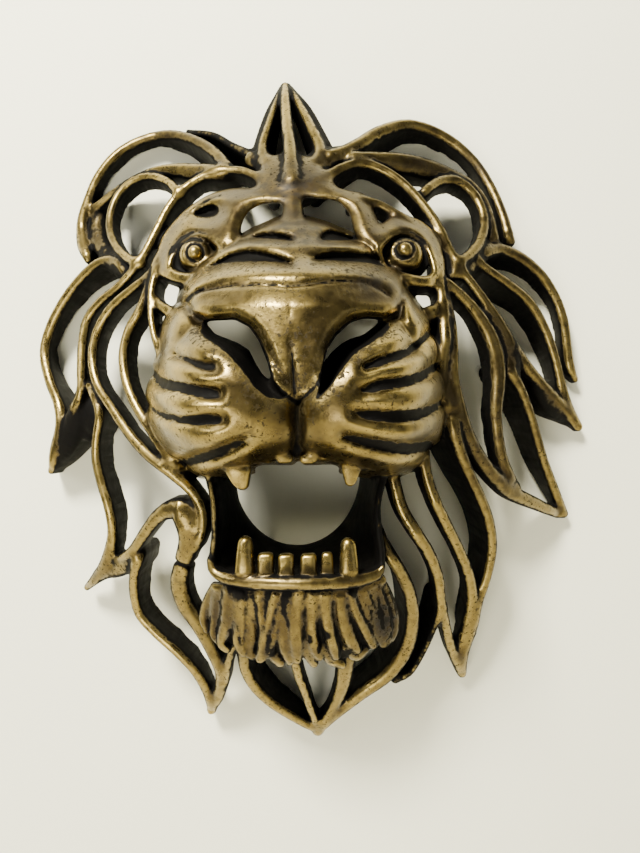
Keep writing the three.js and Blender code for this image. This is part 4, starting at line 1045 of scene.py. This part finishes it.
def cutCrack():
    (a0, d0), (a1, d1) = crack["from"], crack["to"]
    rise = domeRise((a0 + a1) / 2, (d0 + d1) / 2)
    window = windowOnDrawing((a0 - 2, a1 + 2), (d0 - 4, d1 + 6), (rise - 20, rise + 6))
    x, _, z = axesOf(window)
    x0, z0 = placeAt(a0, d0, rise)
    x1, z1 = placeAt(a1, d1, rise)
    ex, ez = x1 - x0, z1 - z0
    aside = ((x - x0) * ez - (z - z0) * ex) / math.hypot(ex, ez) + 0.9 * noiseAt(x, z, 4.0)
    groove = hill(aside, crack["halfWidth"] + 0.5) * hill(np.minimum(dist[window], 0), crack["fadeDepth"])
    dist[window] += crack["deep"] * groove
    depth[window] += 5 * groove


cutCrack()


def sampleGrid(values, points):
    u = np.clip(points, 0, np.array(values.shape) - 1.01)
    i = u.astype(np.int32)
    return blendCorners(values, i.T, (u - i).T)


def boxBlur(values, reach):  # mean over a cube of cells
    for axis in range(3):
        total = np.cumsum(values, axis=axis, dtype=np.float32)
        size = values.shape[axis]
        high = np.minimum(np.arange(size) + reach, size - 1)
        low = np.maximum(np.arange(size) - reach - 1, 0)
        values = (np.take(total, high, axis) - np.take(total, low, axis)) / (2 * reach + 1)
    return values


def triangleCount(piece):
    return sum(len(polygon.vertices) - 2 for polygon in piece.data.polygons)


def makeCasting():
    grid = openvdb.FloatGrid(4.0)
    grid.copyFromArray(np.clip(dist, -4, 4), tolerance=0.0)
    points, quads = grid.convertToQuads(isovalue=0.0)
    print(f"skin: {len(points)} points, {len(quads)} quads")
    mesh = bpy.data.meshes.new("castingSkin")
    at = points.astype(np.float32) * cell + lowCorner.astype(np.float32)
    mesh.vertices.add(len(at))
    mesh.vertices.foreach_set("co", (at / 1000).ravel())
    mesh.loops.add(len(quads) * 4)
    mesh.loops.foreach_set("vertex_index", quads.astype(np.int32).ravel())
    mesh.polygons.add(len(quads))
    mesh.polygons.foreach_set("loop_start", np.arange(0, len(quads) * 4, 4, dtype=np.int32))
    mesh.polygons.foreach_set("loop_total", np.full(len(quads), 4, dtype=np.int32))
    mesh.update()
    mesh.validate()
    casting = bpy.data.objects.new("castingSkin", mesh)
    bpy.context.scene.collection.objects.link(casting)
    return casting


def thinOut(piece, mostTriangles):
    triangles = triangleCount(piece)
    if triangles <= mostTriangles:
        return
    thin = piece.modifiers.new("thin", "DECIMATE")
    thin.ratio = mostTriangles / triangles
    thin.use_collapse_triangulate = True
    depsgraph = bpy.context.evaluated_depsgraph_get()
    made = bpy.data.meshes.new_from_object(piece.evaluated_get(depsgraph))
    piece.modifiers.clear()
    old = piece.data
    piece.data = made
    bpy.data.meshes.remove(old)


casting = makeCasting()
report("skin drawn out")
thinOut(casting, sculpt["mostTriangles"])
casting.name = "lionMaskCasting"
casting.data.name = "lionMaskCasting"
print("triangles:", triangleCount(casting))
report("skin thinned")

# Share of solid round each cell: high in inner corners, low on edges. The paint reads it for pale gold on the
# edges, partly wear and partly a painted highlight, and for black in the corners, partly wash and partly
# painted shade
solidShare = boxBlur((dist < 0).astype(np.float32), max(int(round(sculpt["nearMm"] / cell)), 1))

# Where the gold is painted darker and brown: partly aged brass, partly painted shade on up-facing surfaces
# and on the right side, away from the light. Middle and half size in drawing units, and how much
dullAndShadePatches = [
    (288, 186, 70, 34, 1.0), (165, 140, 66, 16, 0.8), (372, 282, 34, 20, 1.0), (302, 238, 90, 22, 0.85),
    (392, 212, 46, 26, 0.5), (104, 222, 22, 36, 0.6), (446, 164, 46, 18, 0.9), (212, 618, 14, 34, 0.7),
    (388, 618, 16, 36, 0.8), (430, 440, 20, 28, 0.6), (326, 352, 10, 30, 0.5), (222, 346, 22, 12, 0.5),
    (297, 430, 16, 40, 0.7), (297, 583, 88, 5, 0.5), (520, 420, 60, 150, 0.5), (500, 220, 40, 90, 0.5),
    (376, 618, 24, 34, 0.5), (420, 135, 40, 14, 0.5), (300, 655, 90, 10, 0.5), (480, 440, 26, 50, 0.5),
    (92, 570, 20, 20, 0.5),
]


def addPaintMasks(piece):
    mesh = piece.data
    count = len(mesh.vertices)
    at = np.empty(count * 3, dtype=np.float32)
    mesh.vertices.foreach_get("co", at)
    at = at.reshape(-1, 3) * 1000
    inGrid = (at - lowCorner.astype(np.float32)) / cell
    across, down = drawnAt(at[:, 0], at[:, 2], -at[:, 1])
    onFace = smoothStep(-at[:, 1], 80, 95) * (down > 200) * (down < 480)
    masks = {
        "belowFront": sampleGrid(depth, inGrid),
        "filled": sampleGrid(solidShare, inGrid),
        "mottled": lookUp(mottle, across, down) * onFace,
        "dullAndShaded": sum(
            share * np.exp(-(((across - a) / wide) ** 2) - ((down - d) / high) ** 2)
            for a, d, wide, high, share in dullAndShadePatches
        ),
    }
    for name, values in masks.items():
        layer = mesh.attributes.new(name, "FLOAT", "POINT")
        layer.data.foreach_set("value", values.astype(np.float32))
    mesh.shade_smooth()


addPaintMasks(casting)
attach(casting, "root")
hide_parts("lion_mask")
report("paint masks")


def linear(hexColour):
    parts = [int(hexColour[i:i + 2], 16) / 255 for i in (1, 3, 5)]
    return [v / 12.92 if v <= 0.04045 else ((v + 0.055) / 1.055) ** 2.4 for v in parts] + [1.0]


def addNode(tree, kind, settings=(), *inputs, output=0):  # gives back one of the node's outputs
    node = tree.nodes.new("ShaderNode" + kind)
    for name, value in [*dict(settings).items(), *enumerate(inputs)]:
        if isinstance(value, bpy.types.NodeSocket):
            tree.links.new(value, node.inputs[name])
        elif isinstance(name, int) or name in node.inputs:
            node.inputs[name].default_value = value
        else:
            setattr(node, name, value)
    return node.outputs[output] if node.outputs else None


# Cast resin with brass paint: gold rubbed on the raised fronts, black left in the hollows, brown where worn;
# painted shade and a painted highlight are mixed into these too
brassPaint = {
    "gold": "#7C6B3C",
    "goldPaleWearAndHighlight": "#AA9453",
    "goldDeep": "#4E4227",
    # Brown of aged brass, also used as painted shade
    "dullAndShadeBrown": "#2B2418",
    "brown": "#3A3026",
    "black": "#080706",
    "fadeFrom": 0.5,  # depth mask where the gold begins to go
    "fadeTo": 3.6,
    "brushMm": 5.0,  # dabs of the brush and the cloth
    "speckMm": 1.9,  # a little coarser than the real specks, so that they show
    "patchMm": 24.0,  # patches of wear
    "goldMetal": 0.97,
    "goldRough": 0.27,
    "darkRough": 0.6,
    "darkShine": 0.06,  # the dark paint hardly reflects
}


def brassPaintMaterial():
    material = bpy.data.materials.new("antique brass paint on cast resin")
    material.use_nodes = True
    tree = material.node_tree
    tree.nodes.clear()
    look = brassPaint
    place = addNode(tree, "NewGeometry", output="Position")
    brush, speck, patch = [
        addNode(tree, "TexNoise", {
            "Vector": place, "Scale": 1000 / look[size], "Detail": detail, "Roughness": rough,
        })
        for size, detail, rough in (("brushMm", 5, 0.55), ("speckMm", 3, 0.6), ("patchMm", 4, 0.55))
    ]
    below, filled, mottled, dullAndShaded = [
        addNode(tree, "Attribute", {"attribute_name": name}, output="Fac")
        for name in ("belowFront", "filled", "mottled", "dullAndShaded")
    ]
    times, plus, most = [{"operation": name} for name in ("MULTIPLY", "ADD", "MAXIMUM")]
    # A ramp's inputs are its source, from, to, and the values there
    ramp = {"interpolation_type": "SMOOTHSTEP", "clamp": True}

    # Gold: deeper in patches, pale on the edges (wear and a painted highlight), dull and brown where the
    # brass has aged and where shade is painted
    deep, pale, dullAndShadeBrown = linear(look["goldDeep"]), linear(look["goldPaleWearAndHighlight"]), linear(look["dullAndShadeBrown"])
    bright = addNode(tree, "MapRange", ramp, patch, 0.38, 0.66)
    gold = addNode(tree, "Mix", {"data_type": "RGBA", 0: bright, 6: deep, 7: linear(look["gold"])}, output=2)
    # Pale gold on the raised edges: rubbed wear and a painted highlight
    edges = addNode(tree, "MapRange", ramp, filled, 0.50, 0.30)
    rubbedAndHighlit = addNode(tree, "Math", times, edges, addNode(tree, "MapRange", ramp, brush, 0.3, 0.7, 0.35, 1.0))
    gold = addNode(tree, "Mix", {"data_type": "RGBA", 0: rubbedAndHighlit, 6: gold, 7: pale}, output=2)
    # Aged brass and painted shade, from the patches above
    agedAndShaded = addNode(tree, "Math", times, dullAndShaded, addNode(tree, "MapRange", ramp, brush, 0.34, 0.66, 1.0, 0.6))
    gold = addNode(tree, "Mix", {"data_type": "RGBA", 0: agedAndShaded, 6: gold, 7: dullAndShadeBrown}, output=2)

    # Dark: below the fronts, in inner corners (black wash and painted shade), and as specks and smears where
    # it is worn
    hollowWashAndShade = addNode(tree, "MapRange", ramp, filled, 0.55, 0.72)
    worn = addNode(tree, "Math", most, addNode(tree, "MapRange", ramp, patch, 0.44, 0.62), mottled)
    more = addNode(tree, "Math", plus, *[
        addNode(tree, "Math", times, source, share) for source, share in ((worn, 0.08), (mottled, 0.10))
    ])
    specks = addNode(tree, "MapRange", ramp, addNode(tree, "Math", plus, speck, more), 0.64, 0.70)
    smears = addNode(
        tree, "Math", times, addNode(tree, "MapRange", ramp, brush, 0.52, 0.64),
        addNode(tree, "Math", times, worn, 0.8),
    )
    edge = addNode(tree, "Math", plus, below, addNode(tree, "MapRange", ramp, brush, 0.2, 0.8, -1.6, 1.6))
    dark = addNode(tree, "MapRange", ramp, edge, look["fadeFrom"], look["fadeTo"])
    for source, share in ((hollowWashAndShade, 0.85), (specks, 0.85), (smears, 0.6), (agedAndShaded, 0.6)):
        dark = addNode(tree, "Math", most, dark, addNode(tree, "Math", times, source, share))
    blacker = addNode(tree, "MapRange", ramp, dark, 0.25, 0.65)
    brown, black = linear(look["brown"]), linear(look["black"])
    tint = addNode(tree, "Mix", {"data_type": "RGBA", 0: blacker, 6: brown, 7: black}, output=2)

    # Sheen: polished on the gold, matt in the dark, uneven with the brush marks
    rough = addNode(tree, "MapRange", ramp, dark, 0.2, 0.9, look["goldRough"], look["darkRough"])
    rough = addNode(tree, "Math", plus, rough, addNode(tree, "MapRange", ramp, brush, 0.2, 0.8, -0.04, 0.08))
    height = addNode(tree, "Math", plus, *[
        addNode(tree, "Math", times, source, share) for source, share in ((brush, 0.35), (speck, 0.25))
    ])
    shader = addNode(tree, "BsdfPrincipled", {
        "IOR": 1.5,
        "Base Color": addNode(tree, "Mix", {"data_type": "RGBA", 0: dark, 6: gold, 7: tint}, output=2),
        "Metallic": addNode(tree, "MapRange", ramp, dark, 0.3, 0.9, look["goldMetal"], 0.0),
        "Roughness": addNode(tree, "Math", plus, rough, addNode(tree, "Math", times, agedAndShaded, 0.10)),
        "Specular IOR Level": addNode(tree, "MapRange", ramp, dark, 0.3, 0.9, 0.5, look["darkShine"]),
        "Normal": addNode(tree, "Bump", {"Strength": 0.5, "Distance": 0.0006, "Height": height}),
    })
    addNode(tree, "OutputMaterial", {"Surface": shader})
    return material


casting.data.materials.clear()
casting.data.materials.append(brassPaintMaterial())

# A pale wall behind the mask and a pale floor under it, both matt, so that nothing glares
room = {
    "wall": "#FBF9E0",
    "floor": "#DEDAD0",
    "wallGap": 0.0006,  # metres
    "wallSize": 3.0,
    "floorDrop": 0.9,
    "ambient": "#E8ECF0",
    "ambientStrength": 0.11,
}


def plainMaterial(name, colour, seenFromBack):
    material = bpy.data.materials.new(name)
    material.use_nodes = True
    tree = material.node_tree
    shader = tree.nodes["Principled BSDF"]
    shader.inputs["Base Color"].default_value = linear(colour)
    shader.inputs["Roughness"].default_value = 0.7
    if not seenFromBack:
        behind = addNode(tree, "NewGeometry", output="Backfacing")
        mixed = addNode(tree, "MixShader", (), behind, shader.outputs[0], addNode(tree, "BsdfTransparent"))
        tree.links.new(mixed, tree.nodes["Material Output"].inputs["Surface"])
    return material


def backdrop(name, corners, material):
    mesh = bpy.data.meshes.new(name)
    mesh.from_pydata(corners, [], [(0, 1, 2, 3)])
    mesh.materials.append(material)
    piece = bpy.data.objects.new(name, mesh)
    bpy.context.scene.collection.objects.link(piece)


wide, drop, gap = room["wallSize"] / 2, room["floorDrop"], room["wallGap"]
backdrop(
    "paleWall", [(-wide, gap, -drop), (wide, gap, -drop), (wide, gap, wide), (-wide, gap, wide)],
    plainMaterial("matt white wall paint", room["wall"], False),
)
backdrop(
    "paleFloor",
    [(-wide, -2 * wide, -drop), (wide, -2 * wide, -drop), (wide, wide, -drop), (-wide, wide, -drop)],
    plainMaterial("matt pale floor", room["floor"], True),
)

# Camera: straight in front of the drawing's sight point, leaning as the photo does
lens = {"sensor": 36.0, "frameHeight": 853.0}


def makeCamera():
    data = bpy.data.cameras.new("camera")
    data.sensor_fit = "VERTICAL"
    data.sensor_height = lens["sensor"]
    data.lens = lens["sensor"] * drawing["sightDistance"] / lens["frameHeight"]
    data.clip_start = 0.01
    camera = bpy.data.objects.new("camera", data)
    x, z = placeAt(sightAcross, sightDown + 0.5, 0)
    facing = Matrix.Rotation(math.radians(90), 4, "X")
    lean = Matrix.Rotation(drawing["tilt"], 4, "Y")
    camera.matrix_world = Matrix.Translation((x / 1000, -sightMm / 1000, z / 1000)) @ lean @ facing
    bpy.context.scene.collection.objects.link(camera)
    bpy.context.scene.camera = camera


makeCamera()

# Soft studio light from above and a little left, with weaker light from the left side, below and the right:
# name, place and size in metres, watts, colour
lamps = [
    ("keyLight", (-0.38, -0.9, 0.76), 0.3, 66.0, "#FFFBEC"),
    ("sideLight", (-1.0, -0.95, 0.25), 0.5, 7.0, "#FFFDF6"),
    ("lowLight", (-0.4, -1.1, -0.6), 0.5, 9.0, "#FFFBEC"),
    ("fillLight", (1.3, -1.3, -0.3), 1.0, 2.0, "#F3F6FF"),
]
for name, at, size, power, colour in lamps:
    data = bpy.data.lights.new(name, "AREA")
    data.size = size
    data.energy = power
    data.color = linear(colour)[:3]
    lamp = bpy.data.objects.new(name, data)
    lamp.location = at
    lamp.rotation_euler = (Vector((0, 0, -0.15)) - Vector(at)).to_track_quat("-Z", "Y").to_euler()
    bpy.context.scene.collection.objects.link(lamp)

world = bpy.data.worlds.new("room")
world.use_nodes = True
world.node_tree.nodes["Background"].inputs[0].default_value = linear(room["ambient"])
world.node_tree.nodes["Background"].inputs[1].default_value = room["ambientStrength"]
bpy.context.scene.world = world

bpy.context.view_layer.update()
report("scene ready")
